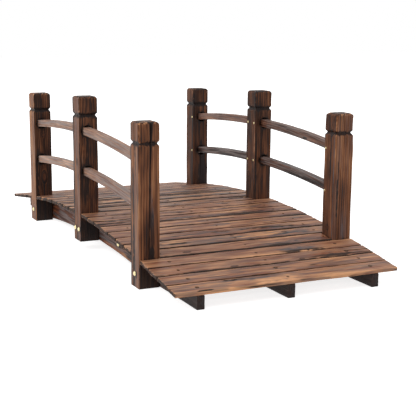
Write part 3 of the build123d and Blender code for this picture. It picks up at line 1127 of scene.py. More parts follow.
@dataclass
class Post(Timber):
    """A square post: it also has round sockets, cut after its faces are shaped."""

    sockets: list[Placed] = field(default_factory=list)  # the mouth's middle, and the way in
    socket_radius: float = 18 * MM
    socket_depth: float = 20 * MM
    # painted shade round each socket's mouth
    socket_mouth_shade: float = 0.3
    groove: float = 0.0  # middle of the groove below the cap, above the foot
    groove_scorch: float = 0.6
    groove_reach: float = 6.5 * MM
    foot_scorch: float = 0.34  # painted shade on the foot's east and west faces, under the planks
    foot_reach: float = 76 * MM
    cap_scorch: float = 0.36  # soot round the cap's edges
    cap_tint: float = -0.05
    cap_flecks_and_glints: float = 0.75  # rubbed flecks on them, which are painted highlight as well

    CUTTER_SIDES = 48
    CUTTER_PROUD = 6 * MM  # how far a cutter stands out of the face
    GROOVE_WAVER = 0.3
    FOOT_WAVER, FOOT_FADE = 12 * MM, 24 * MM
    CAP_EDGE_REACH, CAP_TOP_REACH, CAP_FLECK_REACH = 3.6 * MM, 2.6 * MM, 4.5 * MM
    CAP_PATCH_LENGTH, CAP_PATCH_WIDTH = 9 * MM, 6 * MM
    CAP_FLECK_LENGTH, CAP_FLECK_WIDTH = 8 * MM, 5 * MM
    # Painted shade inside a socket, and how far the painted shade round its mouth reaches
    SOCKET_SHADE = 1.5
    SOCKET_SHADE_REACH = 5 * MM
    SOCKET_SKIN = 3 * MM  # points this near the mouth's plane count as being round the mouth

    def cutter(self) -> Object:
        """Makes round plugs where the sockets are.

        Returns:
            The plugs, as one closed object.
        """
        grid = bmesh.new()
        for mouth, way in self.sockets:
            turn = Vector(way).to_track_quat("Z", "Y").to_matrix().to_4x4()
            middle = Vector(mouth + way * (self.socket_depth - self.CUTTER_PROUD) / 2)
            bmesh.ops.create_cone(
                grid, cap_ends=True, segments=self.CUTTER_SIDES, radius1=self.socket_radius,
                radius2=self.socket_radius, depth=self.socket_depth + self.CUTTER_PROUD,
                matrix=Matrix.Translation(middle) @ turn,
            )
        mesh = bpy.data.meshes.new("cutter")
        grid.to_mesh(mesh)
        grid.free()
        return add_object("cutter", mesh)

    def finish_object(self, timber: Object, own: Array) -> None:
        """Cuts the sockets, then finishes the post as any timber.

        Args:
            timber: the post's object.
            own: not used; the post's own coordinates are measured again after the cut.
        """
        cutter = self.cutter()
        cut = timber.modifiers.new("sockets", "BOOLEAN")
        cut.operation, cut.solver, cut.object = "DIFFERENCE", "EXACT", cutter
        graph = bpy.context.evaluated_depsgraph_get()
        mesh = bpy.data.meshes.new_from_object(timber.evaluated_get(graph))
        timber.modifiers.clear()
        timber.data = mesh
        mesh.name = self.name
        bpy.data.objects.remove(cutter)
        points = np.empty(len(mesh.vertices) * 3)
        mesh.vertices.foreach_get("co", points)
        super().finish_object(timber, np.stack(self.path.measure(points.reshape(-1, 3)), axis=1))

    def marks(self, along: Array, u: Array, v: Array) -> Marks:
        """Marks of any timber, soot in the groove, painted shade on the foot and in and round the sockets,
        and wear and painted highlight on the cap.

        Args:
            along, u, v: the points' own coordinates.

        Returns:
            The value of each attribute at each point.
        """
        marks = super().marks(along, u, v)
        lick = 1 + self.GROOVE_WAVER * self.fine.at(np.arctan2(v, u) * 6, 2.0)
        groove = bell(along - self.groove, self.groove_reach * lick)
        marks["scorch"] += self.groove_scorch * groove
        # Painted shade on the foot's east and west faces, under the planks
        shaded_foot = (self.foot_reach + self.FOOT_WAVER * lick - along) / self.FOOT_FADE
        shaded_foot = np.clip(shaded_foot, 0, 1) * (np.abs(u) > np.abs(v))
        marks["scorch"] += self.foot_scorch * shaded_foot
        marks["bloom"] *= 1 - shaded_foot
        self.mark_cap(marks, along, u, v)
        points = self.path.place(along, u, v)
        # Painted shade inside each socket and round its mouth
        for mouth, way in self.sockets:
            offset = points - mouth
            depth = offset @ way
            reach = np.linalg.norm(offset - depth[:, None] * way, axis=1)
            inside = (depth > 0.3 * MM) & (depth < self.socket_depth * 1.02)
            inside &= reach < self.socket_radius * 1.01
            near = fade(np.clip(reach - self.socket_radius, 0, None), self.SOCKET_SHADE_REACH)
            near = near * (np.abs(depth) < self.SOCKET_SKIN)
            soot = np.where(inside, self.SOCKET_SHADE, self.socket_mouth_shade * near)
            marks["scorch"] += soot
            marks["worn"] = np.where(inside, 0, marks["worn"])
        return marks

    def mark_cap(self, marks: Marks, along: Array, u: Array, v: Array) -> None:
        """Adds soot, and rubbed flecks that are painted highlight as well, along the edges of the cap.

        Args:
            marks: the marks so far, changed in place.
            along, u, v: the points' own coordinates.
        """
        half = np.interp(along, self.stations, self.half_u)
        arris = half - np.minimum(np.abs(u), np.abs(v))
        top = self.stations[-1] - along
        on_cap = along > self.groove
        patchy = self.fine.at(along / self.CAP_PATCH_LENGTH + 70, (u - v) / self.CAP_PATCH_WIDTH)
        rim = bell(arris, self.CAP_EDGE_REACH) + 0.7 * bell(top, self.CAP_TOP_REACH)
        rim = rim * (1 + patchy) * on_cap
        flecks = self.fine.at((u + v) / self.CAP_FLECK_WIDTH, along / self.CAP_FLECK_LENGTH + 30)
        flecks = np.clip(3 * flecks - 0.6, 0, 1) * on_cap
        near = bell(np.minimum(arris, top), self.CAP_FLECK_REACH)
        marks["scorch"] += self.cap_scorch * rim * (1 - 0.7 * flecks)
        marks["tint"] += self.cap_tint * on_cap
        marks["worn"] += self.cap_flecks_and_glints * flecks * near


# Sub-assemblies ----------
X_AXIS, Y_AXIS, Z_AXIS = np.eye(3)
EAST, NORTH, WEST, SOUTH = Face  # the faces of an upright post
LEAST_STEP = 0.5 * MM


def steps(
    start: float, end: float, pitch: float, close: tuple[tuple[float, float, float], ...] = ()
) -> Array:
    """Stations along a timber.

    Args:
        start: first station.
        end: last station.
        pitch: distance between stations.
        close: stretches with more stations: middle, half length and pitch of each.

    Returns:
        The stations in order.
    """
    stations = [np.linspace(start, end, max(2, round((end - start) / pitch) + 1))]
    for middle, reach, near in close:
        stations.append(np.arange(middle - reach, middle + reach, near))
    merged = np.unique(np.concatenate(stations).clip(start, end))
    kept = [merged[0]]
    for station in merged[1:-1]:
        if min(station - kept[-1], merged[-1] - station) > LEAST_STEP:
            kept.append(station)
    return np.array([*kept, merged[-1]])


@dataclass
class Railing:
    """The eight arched rails, each let into a round socket at both ends."""

    finish: Material
    edge: float = 1.5 * MM
    pitch: float = 4.5 * MM
    columns: int = 8
    # Tone, bloom and soot of each rail
    LOOKS = {
        "rail_upper_south_west": (0.1, 0.8, 0.0),
        "rail_upper_south_east": (0.08, 0.6, 0.0),
        "rail_lower_south_west": (0.2, 0.8, 0.0),
        "rail_lower_south_east": (0.06, 0.7, 0.0),
        "rail_upper_north_west": (-0.06, 0.4, 0.0),
        "rail_upper_north_east": (-0.22, 0.5, 0.0),
        "rail_lower_north_west": (-0.37, 0.75, 0.2),
        "rail_lower_north_east": (-0.34, 0.6, 0.2),
    }
    STAINS = {
        "rail_upper_north_east": [
            StainAndShading.mm(Face.U_MINUS, 300, 322, 5, 2.5, soot=1.1),
            StainAndShading.mm(Face.U_MINUS, 0, 62, 0, 16, tint=0.08, bloom=-1.0),
            StainAndShading.mm(Face.U_MINUS, 340, 440, 3, 5, tint=0.12, bloom=-0.6),
        ],
    }

    def nodes(self) -> list[str]:
        """The rails' nodes."""
        return sorted(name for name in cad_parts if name.startswith("rail_"))

    @staticmethod
    def survey(node: str) -> tuple[Arched, float, float, float]:
        """Reads a rail's arch from the frame.

        Args:
            node: the rail's node.

        Returns:
            The path of the rail's middle line, its first and last place along it, and the rail's thickness.
        """
        points = solids_of(node)[0].points
        inner = points[points[:, 2].argmax()]
        outer = points[np.abs(points[:, 0]).argmax()]
        centre = inner[0] ** 2 - outer[0] ** 2 + inner[2] ** 2 - outer[2] ** 2
        centre /= 2 * (inner[2] - outer[2])
        top = math.hypot(inner[0], inner[2] - centre)
        size = float(np.ptp(points[:, 1]))
        radius = top - size / 2
        angles = np.arctan2(points[:, 0], points[:, 2] - centre) * radius
        path = Arched(float(points[:, 1].mean()), float(centre), float(radius))
        return path, float(angles.min()), float(angles.max()), size

    def build(self) -> None:
        """Builds every rail."""
        for node in self.nodes():
            path, start, end, size = self.survey(node)
            stations = steps(start, end, self.pitch)
            flat = np.ones_like(stations)
            draw = np.random.default_rng(seed_of(node))
            tint, bloom, soot = self.LOOKS[node]
            # The tops are paler and greyer as painted highlight, and the undersides and their lower edges
            # darker as painted shade
            Timber(
                name=f"timber_{node}", nodes=(node,), slot="rail_timber", finish=self.finish, path=path,
                stations=stations, half_u=flat * size / 2, half_v=flat * size / 2, middle_v=flat * 0,
                ring=Ring((self.columns,) * 4), edge=flat * self.edge,
                pith=tuple(draw.uniform(-26, 26, 2) * MM), ridge=0.1 * MM, sway=0.25 * MM, tint=tint,
                scorch=soot, bloom=bloom, face_bloom={Face.V_PLUS: 0.2},
                stains=self.STAINS.get(node, []), face_tint={Face.V_PLUS: 0.06, Face.V_MINUS: -0.2},
                edge_soot_and_shade={Face.V_MINUS: 0.3}, edge_waver=1.5 * MM, edge_wear=0.16,
            ).build()


@dataclass
class PostRow:
    """The six posts, with a V-groove below a bevelled cap."""

    finish: Material
    pitch: float = 3.6 * MM
    columns: int = 24
    edge: float = 3.0 * MM
    cap_edge: float = 3.6 * MM
    # How far a worn cap is rounded off towards its top
    worn_caps: dict[str, float] = field(default_factory=lambda: {"post_north_east": 2.5 * MM})
    soften: float = 1.8 * MM  # how far the groove's and cap's corners are rounded along the post
    socket_clearance: float = 0.8 * MM  # round the corners of the rail
    end_clearance: float = 0.2 * MM
    rail_screws: list[Placed] = field(default_factory=list)  # their heads
    CORNER_SHARE = 0.6  # a point this far from the middle both ways, of the greatest reach, is at a corner
    # Colour, knots, checks and stains of each post, as settings of a Post. The darker tone and the missing
    # grey bloom of every east face, and of the north posts' south faces, are painted shade.
    CHARACTERS = {
        "post_south_west": {
            "face_tint": {EAST: -0.27, SOUTH: 0.1, NORTH: -0.1, WEST: 0.0}, "foot_scorch": 0.38,
            "cap_scorch": 0.2, "face_bloom": {EAST: -0.35, SOUTH: 0.25},
            "knots": [Knot.mm(EAST, 157, 2, 8.5, 2.1, 0.3), Knot.mm(EAST, 307, 2, 5, 1.5, 0.28)],
            "face_scorch": {EAST: 0.08},
            "stains": [
                StainAndShading.mm(EAST, 0, 300, -22, 4, soot=0.4),
                # painted shade beside the foot bolt
                StainAndShading.mm(SOUTH, 30, 46, 9, 4, soot=1.3),
            ],
            "pith": (34 * MM, 2 * MM),
        },
        "post_south_middle": {
            "face_tint": {EAST: -0.26, SOUTH: -0.05, NORTH: -0.12, WEST: 0.0},
            "face_bloom": {EAST: -0.35, SOUTH: 0.3}, "face_scorch": {EAST: 0.12, SOUTH: 0.12},
            "foot_scorch": 0.38, "cap_scorch": 0.22,
            "knots": [Knot.mm(SOUTH, 250, 8, 6), Knot.mm(EAST, 205, 14, 4, 3.0)],
            "stains": [
                StainAndShading.mm(SOUTH, 60, 380, -24, 5, soot=0.4, bloom=0.6),
                # painted shade beside the two foot bolts
                StainAndShading.mm(SOUTH, 30, 46, 26, 3.5, soot=1.3),
                StainAndShading.mm(SOUTH, 30, 46, -8, 3.5, soot=1.3),
                StainAndShading.mm(EAST, 120, 200, -12, 3, soot=0.4),
                StainAndShading.mm(EAST, 230, 360, -4, 4, soot=0.5),
                StainAndShading.mm(EAST, 140, 250, -5, 7, soot=0.45),
                StainAndShading.mm(EAST, 70, 130, 20, 7, tint=0.12, soot=-0.1),
                StainAndShading.mm(EAST, 240, 300, -17, 5, tint=0.2, bloom=0.5),
            ],
            "pith": (38 * MM, -6 * MM),
            "pith_drift": (-22 * MM, 8 * MM),
        },
        "post_south_east": {
            "face_tint": {EAST: -0.1, SOUTH: -0.03, NORTH: -0.12, WEST: -0.06},
            "face_bloom": {EAST: -0.35, SOUTH: 0.15}, "face_scorch": {SOUTH: 0.06},
            "foot_scorch": 0.75, "cap_scorch": 0.2,
            "checks": [Check.mm(EAST, 50, 500, -2, 6.5, 2.6, 5, 1.7, soot=0.9, gape=1.7)],
            "knots": [Knot.mm(EAST, 98, 9, 5, 1.8)],
            "stains": [
                StainAndShading.mm(EAST, 350, 450, 4.5, 3.2, soot=0.45),
                StainAndShading.mm(EAST, 180, 285, 9, 2.6, soot=0.4, bloom=0.8),
                StainAndShading.mm(EAST, 62, 112, 8, 4.5, soot=0.35),
                StainAndShading.mm(SOUTH, 170, 250, 20, 3, tint=0.1, bloom=1.6),
                StainAndShading.mm(SOUTH, 0, 150, -6, 8, soot=0.6, bloom=0.8),
                StainAndShading.mm(SOUTH, 150, 330, -10, 5, soot=0.6, bloom=0.6),
                StainAndShading.mm(SOUTH, 0, 440, -28, 5, soot=0.7),
                StainAndShading.mm(SOUTH, 300, 400, 6, 4, soot=0.5),
                # painted shade beside the foot bolt
                StainAndShading.mm(SOUTH, 28, 44, 9.5, 4, soot=1.4),
            ],
            "pith": (12 * MM, 8 * MM),
        },
        "post_north_west": {
            "face_tint": {EAST: -0.28, SOUTH: -0.22, NORTH: 0.06, WEST: -0.08},
            "face_bloom": {EAST: -0.35, SOUTH: -0.4, NORTH: 0.3},
            "face_scorch": {EAST: 0.14, SOUTH: 0.02}, "knots": [Knot.mm(EAST, 100, 8, 5, 3.2)],
            "checks": [Check.mm(EAST, 120, 215, 5, 0, 1.5, 3, 4, soot=0.4)],
            "stains": [
                StainAndShading.mm(EAST, 60, 165, 9, 11, soot=1.6), StainAndShading.mm(EAST, 150, 215, 7, 6, soot=1.4),
                StainAndShading.mm(EAST, 205, 250, 5, 4, soot=1.1),
            ],
            "pith": (24 * MM, 20 * MM),
        },
        "post_north_middle": {
            "face_tint": {EAST: -0.22, SOUTH: -0.25, NORTH: 0.04, WEST: -0.08},
            "face_bloom": {EAST: -0.35, SOUTH: -0.4, NORTH: 0.3},
            "face_scorch": {EAST: 0.12, SOUTH: 0.02},
            "checks": [Check.mm(EAST, 225, 330, -3, -4, 1.4, 3, 4, soot=0.4)],
            "knots": [Knot.mm(SOUTH, 170, -10, 6)],
            "stains": [
                StainAndShading.mm(EAST, 60, 270, -26, 2.6, soot=1.0),
                StainAndShading.mm(SOUTH, 150, 330, 26, 3, tint=0.22, bloom=0.3),
                StainAndShading.mm(SOUTH, 170, 290, 20, 2.5, soot=0.6),
            ],
            "pith": (30 * MM, -14 * MM),
        },
        "post_north_east": {
            "face_tint": {EAST: -0.06, SOUTH: -0.18, NORTH: 0.06, WEST: -0.08},
            "face_bloom": {EAST: -0.1, SOUTH: -0.35, NORTH: 0.3},
            "knots": [Knot.mm(SOUTH, 113, -2, 6, 1.4), Knot.mm(WEST, 240, 4, 7)],
            "stains": [
                StainAndShading.mm(EAST, 120, 330, -20, 3, soot=0.45),
                StainAndShading.mm(EAST, 60, 150, 4, 6, tint=-0.06, bloom=0.8),
                StainAndShading.mm(SOUTH, 260, 440, 4, 5, soot=0.45),
                StainAndShading.mm(SOUTH, 20, 400, 24, 3, bloom=0.8),
            ],
            "pith": (16 * MM, -36 * MM),
        },
    }

    def profile(self, node: str) -> Array:
        """Measures a post's upright corners.

        Args:
            node: the post's node.

        Returns:
            Each level where the corners have a point, foot to top, with half the post's width there.
        """
        points = solids_of(node)[0].points
        low, high = points.min(axis=0), points.max(axis=0)
        reach = np.abs(points[:, :2] - ((low + high) / 2)[:2])
        at_corner = reach.min(axis=1) > self.CORNER_SHARE * reach.max()
        levels: dict[float, float] = {}
        for height, width in zip(points[at_corner, 2] - low[2], reach[at_corner].max(axis=1)):
            level = round(float(height), 5)
            levels[level] = max(levels.get(level, 0.0), float(width))
        return np.array(sorted(levels.items()))

    def sockets(self, x: float, y: float, half: float) -> tuple[list[Placed], float, float]:
        """Where the rails enter a post.

        Args:
            x: the post's middle along the bridge.
            y: the post's middle across it.
            half: half its width.

        Returns:
            Middle of the mouth and way in for each socket, the sockets' radius, and their depth.
        """
        found, radius, depth = [], 0.0, 0.0
        for node in Railing.nodes(self):
            path, start, end, size = Railing.survey(node)
            if (path.y > 0) != (y > 0):
                continue
            for place, way in ((start, -1.0), (end, 1.0)):
                tip = path.radius * math.sin(place / path.radius)
                if abs(tip - x) > half:
                    continue
                depth = half - abs(tip - x) + self.end_clearance
                middle = x - way * (half - depth / 2)
                height = path.centre + math.sqrt(path.radius**2 - middle**2)
                found.append((np.array([x - way * half, path.y, height]), way * X_AXIS))
                radius = size / math.sqrt(2) + self.socket_clearance
        return found, radius, depth

    def build(self) -> None:
        """Builds every post."""
        for node in sorted(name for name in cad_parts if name.startswith("post_")):
            low, high = (np.array(corner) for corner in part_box(node))
            middle = (low + high) / 2
            levels = self.profile(node)
            length, half = levels[-1, 0], levels[:, 1].max()
            upper = levels[levels[:, 0] > length / 2]
            groove = float(upper[:-1][upper[:-1, 1].argmin(), 0])
            # More stations round the groove and the bevel of the cap
            close = ((groove, 14 * MM, 1.2 * MM), (length - 4 * MM, 9 * MM, 1.0 * MM))
            stations = steps(0.0, length, self.pitch, close)
            spans = np.linspace(-self.soften, self.soften, 9)
            halves = np.mean([np.interp(stations + span, *levels.T) for span in spans], axis=0)
            sockets, radius, depth = self.sockets(float(middle[0]), float(middle[1]), half)
            origin = np.array([middle[0], middle[1], low[2]])
            walkway = -math.copysign(1, middle[1])
            for mouth, way in sockets:
                x, _, z = mouth + way * depth / 2
                head = np.array([x, middle[1] + walkway * half, z])
                self.rail_screws.append((head, walkway * Y_AXIS))
            worn = self.worn_caps.get(node, 0.0)
            halves = halves - worn * np.clip(1 - (length - stations) / (3 * worn + MM), 0, 1) ** 2
            Post(
                name=f"timber_{node}", nodes=(node,), slot="post_timber", finish=self.finish,
                path=Straight(origin, Z_AXIS, X_AXIS, Y_AXIS), stations=stations, half_u=halves,
                half_v=halves, middle_v=halves * 0, ring=Ring((self.columns,) * 4, 4),
                edge=np.where(stations > groove, self.cap_edge + worn, self.edge), ragged_end=0.3 * MM,
                bloom=0.4, end_scorch=0.1, cut_scorch=0.16, edge_soot_and_shade={Face.U_MINUS: 0.5},
                edge_share=0.15, creep=8 * MM, sockets=sockets, socket_radius=radius,
                socket_depth=depth, groove=groove, **self.CHARACTERS[node],
            ).build()


STRINGER_LINES = ("south", "centre", "north")


def frame_end() -> float:
    """How far the frame reaches along the bridge from its middle."""
    return max(abs(CAD_BOX[0][0]), abs(CAD_BOX[1][0]))


@dataclass(frozen=True)
class Mark:
    """A stain, painted shade or painted highlight in the bridge's coordinates, in millimetres: its place
    across the timber, and its ends.
    """

    place: float
    start: float
    end: float
    width: float
    soot: float
    tint: float = 0.0
    bloom: float = 0.0

    def stain(self, face: Face, middle: float, slope: float) -> StainAndShading:
        """The mark in a timber's own coordinates.

        Args:
            face: the face that it is on.
            middle: place of the middle line of that face on the bridge.
            slope: how far that place shifts for each unit across the face.

        Returns:
            The stain.
        """
        start, end, width = self.start * MM, self.end * MM, self.width * MM
        across = (self.place * MM - middle) / slope
        return StainAndShading(face, start, end, across, width, self.soot, self.tint, self.bloom)


@dataclass
class Decking:
    """The cross planks of the deck and the ramps, screwed down to each stringer."""

    finish: Material
    stains: tuple[tuple[float, ...], ...] = (
        # The marks at 757 and 756 are painted highlight on the rounded front edge of the last ramp plank.
        (760, -272, -232, 6, 1.4, 0.0, 0.6), (757, -100, 10, 9, -0.2, 0.4, -1.0),
        (738, -90, 30, 12, -0.2, 0.16, -0.6), (756, 60, 330, 10, 0.0, 0.14, -0.6),
        (716, -180, -120, 6, 0.5, 0.0, 0.8), (722, -120, -40, 5, 0.2, 0.0, 0.9),
        (671, -12, 20, 7, 0.4, 0.0, 0.6), (681, 92, 136, 8, 0.35, 0.0, 0.8),
        (680, 262, 306, 6, 0.3, 0.0, 0.8), (640, -236, -190, 7, 0.2, 0.0, 0.9),
        # The mark at 616 is a painted shadow of the north-east post.
        (616, 160, 330, 20, 0.16, -0.1, 0.3), (581, -245, -200, 5, 0.55, 0.0, 0.4),
        (556, 70, 200, 12, 0.2, -0.04, 0.9), (575, -60, 90, 6, 0.0, 0.2, -0.8),
        (577, 96, 212, 8, 0.75, 0.0, -0.3), (516, 10, 160, 9, 0.55, 0.0, 0.8),
        (496, 60, 260, 12, 0.2, -0.08, 0.8), (426, -205, -150, 8, 0.55, 0.0, 0.8),
        (430, -60, 220, 14, 0.1, -0.03, 0.8), (369, -48, 10, 8, 0.4, 0.0, 1.0),
        (368, 50, 230, 11, 0.4, 0.0, 0.9), (328, 20, 330, 8, 0.1, 0.16, -0.7),
        (303, 270, 310, 6, 0.4, 0.0, 0.9), (302, -60, 180, 8, 0.15, -0.05, 0.9),
        (192, -330, 330, 12, 0.3, -0.1, 1.0), (152, -60, 300, 7, 0.0, 0.14, -0.9),
        (122, -50, 240, 7, 0.2, -0.05, 0.7), (90, -20, 300, 7, 0.0, 0.14, -0.9),
        (10, -60, 220, 10, 0.0, 0.04, 0.6), (-50, -200, 300, 12, 0.1, -0.08, 0.3),
        (-80, -200, 300, 9, 0.0, 0.06, -0.3), (-142, -330, 330, 10, 0.0, 0.3, -0.3),
        (240, -330, 330, 16, 0.0, 0.08, -0.3), (112, -330, 330, 20, 0.1, -0.1, 0.4),
        # The whole-width rows from here on at 698, 334, 638, 518, 456, 395, 212, -40, -103 and -182 add
        # painted shade along the gaps and steps between planks, or take some away where their soot is below
        # zero.
        (698, -330, 330, 5, -0.5), (334, -330, 330, 5, -0.5), (638, -330, 330, 4, 0.4),
        (518, -330, 330, 5, 1.1), (456, -330, 330, 4.5, 0.8), (395, -330, 330, 4.5, 0.8),
        (212, -330, 330, 4.5, 0.9), (-14, -60, 330, 14, 0.22, -0.1, 0.2), (-40, -330, 330, 7, 1.0),
        (-62, -200, 330, 8, 0.2, -0.1, 0.3), (-103, -330, 330, 7, 0.7),
        (-182, -330, 330, 11, 1.1, -0.12), (-322, -330, 330, 28, 0.1, -0.08, 0.3),
    )  # each as the fields of a Mark, with x as its place
    splinters: tuple[tuple[float, float, float, float], ...] = (
        (577, 150, 42, 13), (408, 132, 30, 5), (24, 172, 16, 8), (-14, 262, 16, 8),
    )  # in millimetres: x and y of the middle, length across the bridge and width along it
    pitch: float = 6.5 * MM
    edge: float = 2.5 * MM
    shrunk: float = 0.4 * MM  # how much each long edge of a plank has shrunk back
    shortest: float = 2.4 * MM  # how much a plank may be short of its full length at each end
    screw_lines: tuple[float, ...] = ()
    screw_heads: list[tuple[Array, Array]] = field(default_factory=list)
    head_below: float = 0.5 * MM
    west_soot: float = 0.35  # on the long sides of a plank
    east_soot: float = 0.6
    outer_soot: float = 0.14  # on the outer side of the last one, which is rubbed bare
    STREAK_COUNTS = (4, 7)  # from the first up to, not including, the second
    STREAK_PLACE = 330  # in millimetres, as the next two: reach to both sides, half lengths and widths
    STREAK_HALVES = (35, 120)
    STREAK_WIDTHS = (3, 8)
    # How much soot and painted shade the seams at the planks' edges have, and how much painted sheen the
    # planks have: places along the bridge, and shares there
    seam_soot_and_shade_by_place: tuple[tuple[float, ...], ...] = (
        (-0.15, -0.02, 0.2, 0.48, 0.55),
        (1.4, 1.15, 1.15, 1.0, 0.5),
    )
    sheen_by_place: tuple[tuple[float, ...], ...] = ((-0.6, -0.5, -0.12, 0.0), (0.1, 1.0, 1.0, 0.0))
    far_sheen: float = 0.6  # painted sheen, as grey bloom, that the full share adds
    streaked: Pair = (-700 * MM, 470 * MM)  # where the planks have weathered in streaks
    # Soot, tone and bloom of a golden, a dark and a grey streak
    STREAKS = ((0.0, 0.22, -0.8), (0.3, -0.16, 0.0), (0.14, -0.06, 0.9))

    def build(self) -> None:
        """Builds every plank and notes where the screw heads go."""
        stringers = (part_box(f"stringer_{n}_east") for n in STRINGER_LINES)
        self.screw_lines = tuple((low.y + high.y) / 2 for low, high in stringers)
        for node in sorted(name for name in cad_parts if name.startswith(("deck_plank", "ramp_"))):
            solids = solids_of(node)
            for number, solid in enumerate(solids, start=1):
                self.plank(f"timber_{node}_{number}" if len(solids) > 1 else f"timber_{node}", node, solid)

    def weather(self, draw: np.random.Generator, centre_x: float, half_u: float) -> list[StainAndShading]:
        """Draws the long streaks that a plank has weathered in: golden ones, dark ones and grey ones.

        Args:
            draw: the plank's own random numbers.
            centre_x: where the plank lies along the bridge.
            half_u: half of the plank's width.

        Returns:
            The streaks, as stains on the plank's top.
        """
        if not self.streaked[0] < centre_x < self.streaked[1]:
            return []
        streaks = []
        for number in draw.permutation(2 * len(self.STREAKS))[: draw.integers(*self.STREAK_COUNTS)]:
            middle = draw.uniform(-self.STREAK_PLACE, self.STREAK_PLACE) * MM
            half = draw.uniform(*self.STREAK_HALVES) * MM
            width = draw.uniform(*self.STREAK_WIDTHS) * MM
            across = draw.uniform(-0.8, 0.8) * half_u
            look = self.STREAKS[number % len(self.STREAKS)]
            streaks.append(StainAndShading(Face.V_PLUS, middle - half, middle + half, across, width, *look))
        return streaks

    def plank(self, name: str, node: str, solid: Solid) -> None:
        """Builds one plank.

        Args:
            name: the plank's name.
            node: the node that it is part of.
            solid: the plank's solid.
        """
        up = solid.up / np.linalg.norm(solid.up)
        side = np.cross(up, Y_AXIS)
        (v_low, v_high), (u_low, u_high) = solid.spread(up), solid.spread(side)
        start, end = solid.spread(Y_AXIS)
        origin = up * (v_low + v_high) / 2 + side * (u_low + u_high) / 2
        path = Straight(origin, Y_AXIS, side, up)
        draw = np.random.default_rng(seed_of(name))
        short = draw.uniform(0, self.shortest, 2)
        lines = [line + draw.uniform(-2, 2) * MM for line in self.screw_lines]
        close = tuple((line, 8 * MM, 1.5 * MM) for line in lines)  # more stations round the screws
        stations = steps(start + short[0], end - short[1], self.pitch, close)
        flat = np.ones_like(stations)
        offsets = [(line, draw.uniform(-3, 3) * MM) for line in lines]
        heart = draw.choice([-1, 1]) * draw.uniform(14, 40)
        half_u = (u_high - u_low) / 2 - self.shrunk
        knots = [
            Knot(
                Face.V_PLUS, draw.uniform(start * 0.9, end * 0.9), draw.uniform(-0.7, 0.7) * half_u,
                draw.uniform(3.5, 6.5) * MM, draw.uniform(1.2, 2.2),
            )
            for _ in range(draw.integers(0, 3))
        ]
        centre_x = float(origin[0])
        sides = {Face.U_PLUS: self.west_soot, Face.U_MINUS: self.east_soot}
        last = abs(centre_x) > frame_end() - 2 * half_u
        if last:
            sides[Face.U_MINUS if centre_x > 0 else Face.U_PLUS] = self.outer_soot
        # Soot and painted shade at the seams, and painted sheen on the far planks, by place along the
        # bridge
        seam_soot_and_shade = float(np.interp(centre_x, *self.seam_soot_and_shade_by_place))
        sheen_share = float(np.interp(centre_x, *self.sheen_by_place))
        stains = [
            mark.stain(Face.V_PLUS, centre_x, -side[0])
            for mark in (Mark(*row) for row in self.stains)
            if abs(mark.place * MM - centre_x) < half_u
        ] + self.weather(draw, centre_x, half_u)
        chips = [
            Chip(y * MM, (x * MM - centre_x) / -side[0], length * MM, width * MM)
            for x, y, length, width in self.splinters
            if abs(x * MM - centre_x) < half_u
        ]
        # The east edges take soot and painted shade of the gaps between planks, the west edges rubbed wood
        # that is painted highlight as well, and the far planks a painted sheen as grey bloom
        Timber(
            name=name, nodes=(node,), slot="deck_timber", finish=self.finish, path=path,
            stations=stations, half_u=flat * half_u, half_v=flat * (v_high - v_low) / 2,
            middle_v=flat * 0, ring=Ring((4, 30, 4, 10)), edge=flat * self.edge, under_edge=0.25,
            pith=(draw.uniform(-16, 16) * MM, heart * MM),
            pith_drift=(draw.uniform(-10, 10) * MM, draw.uniform(-16, 16) * MM), ridge=0.25 * MM,
            sway=0.45 * MM, chipped_ends=True, tint=draw.uniform(-0.07, 0.07),
            bloom=draw.uniform(0.1, 0.7) + self.far_sheen * sheen_share, scorch=draw.uniform(-0.05, 0.1),
            end_scorch=0.22, cut_scorch=1.1, face_scorch={**sides, Face.V_MINUS: 0.05},
            edge_soot_and_shade={} if last else {Face.U_MINUS: draw.uniform(0.4, 1.0) * seam_soot_and_shade},
            edge_tint={} if last else {Face.U_MINUS: -draw.uniform(0.2, 0.5) * seam_soot_and_shade},
            edge_rub_and_highlight={Face.U_PLUS: draw.uniform(0.4, 1.0), **({Face.U_MINUS: 0.4} if last else {})},
            creep=7 * MM * seam_soot_and_shade, edge_waver=1.5 * MM, edge_wear=0.6, end_rub=0.25, chips=chips,
            face_tint={Face.V_MINUS: -0.1}, knots=knots, stains=stains, dimples=offsets,
            dimple_soot_and_shade=1.0 if node.startswith("ramp") else 0.35,
        ).build()
        for line, across in offsets:
            top = (v_high - v_low) / 2 - self.head_below
            place = path.place(np.array([line]), np.array([-across]), np.array([top]))[0]
            self.screw_heads.append((place, up))


SHADE_UNDER_RAMP = Mark(0, 560, 780, 45, 1.0, 0.1, -0.8)  # painted shade all over a stringer's end under the ramp


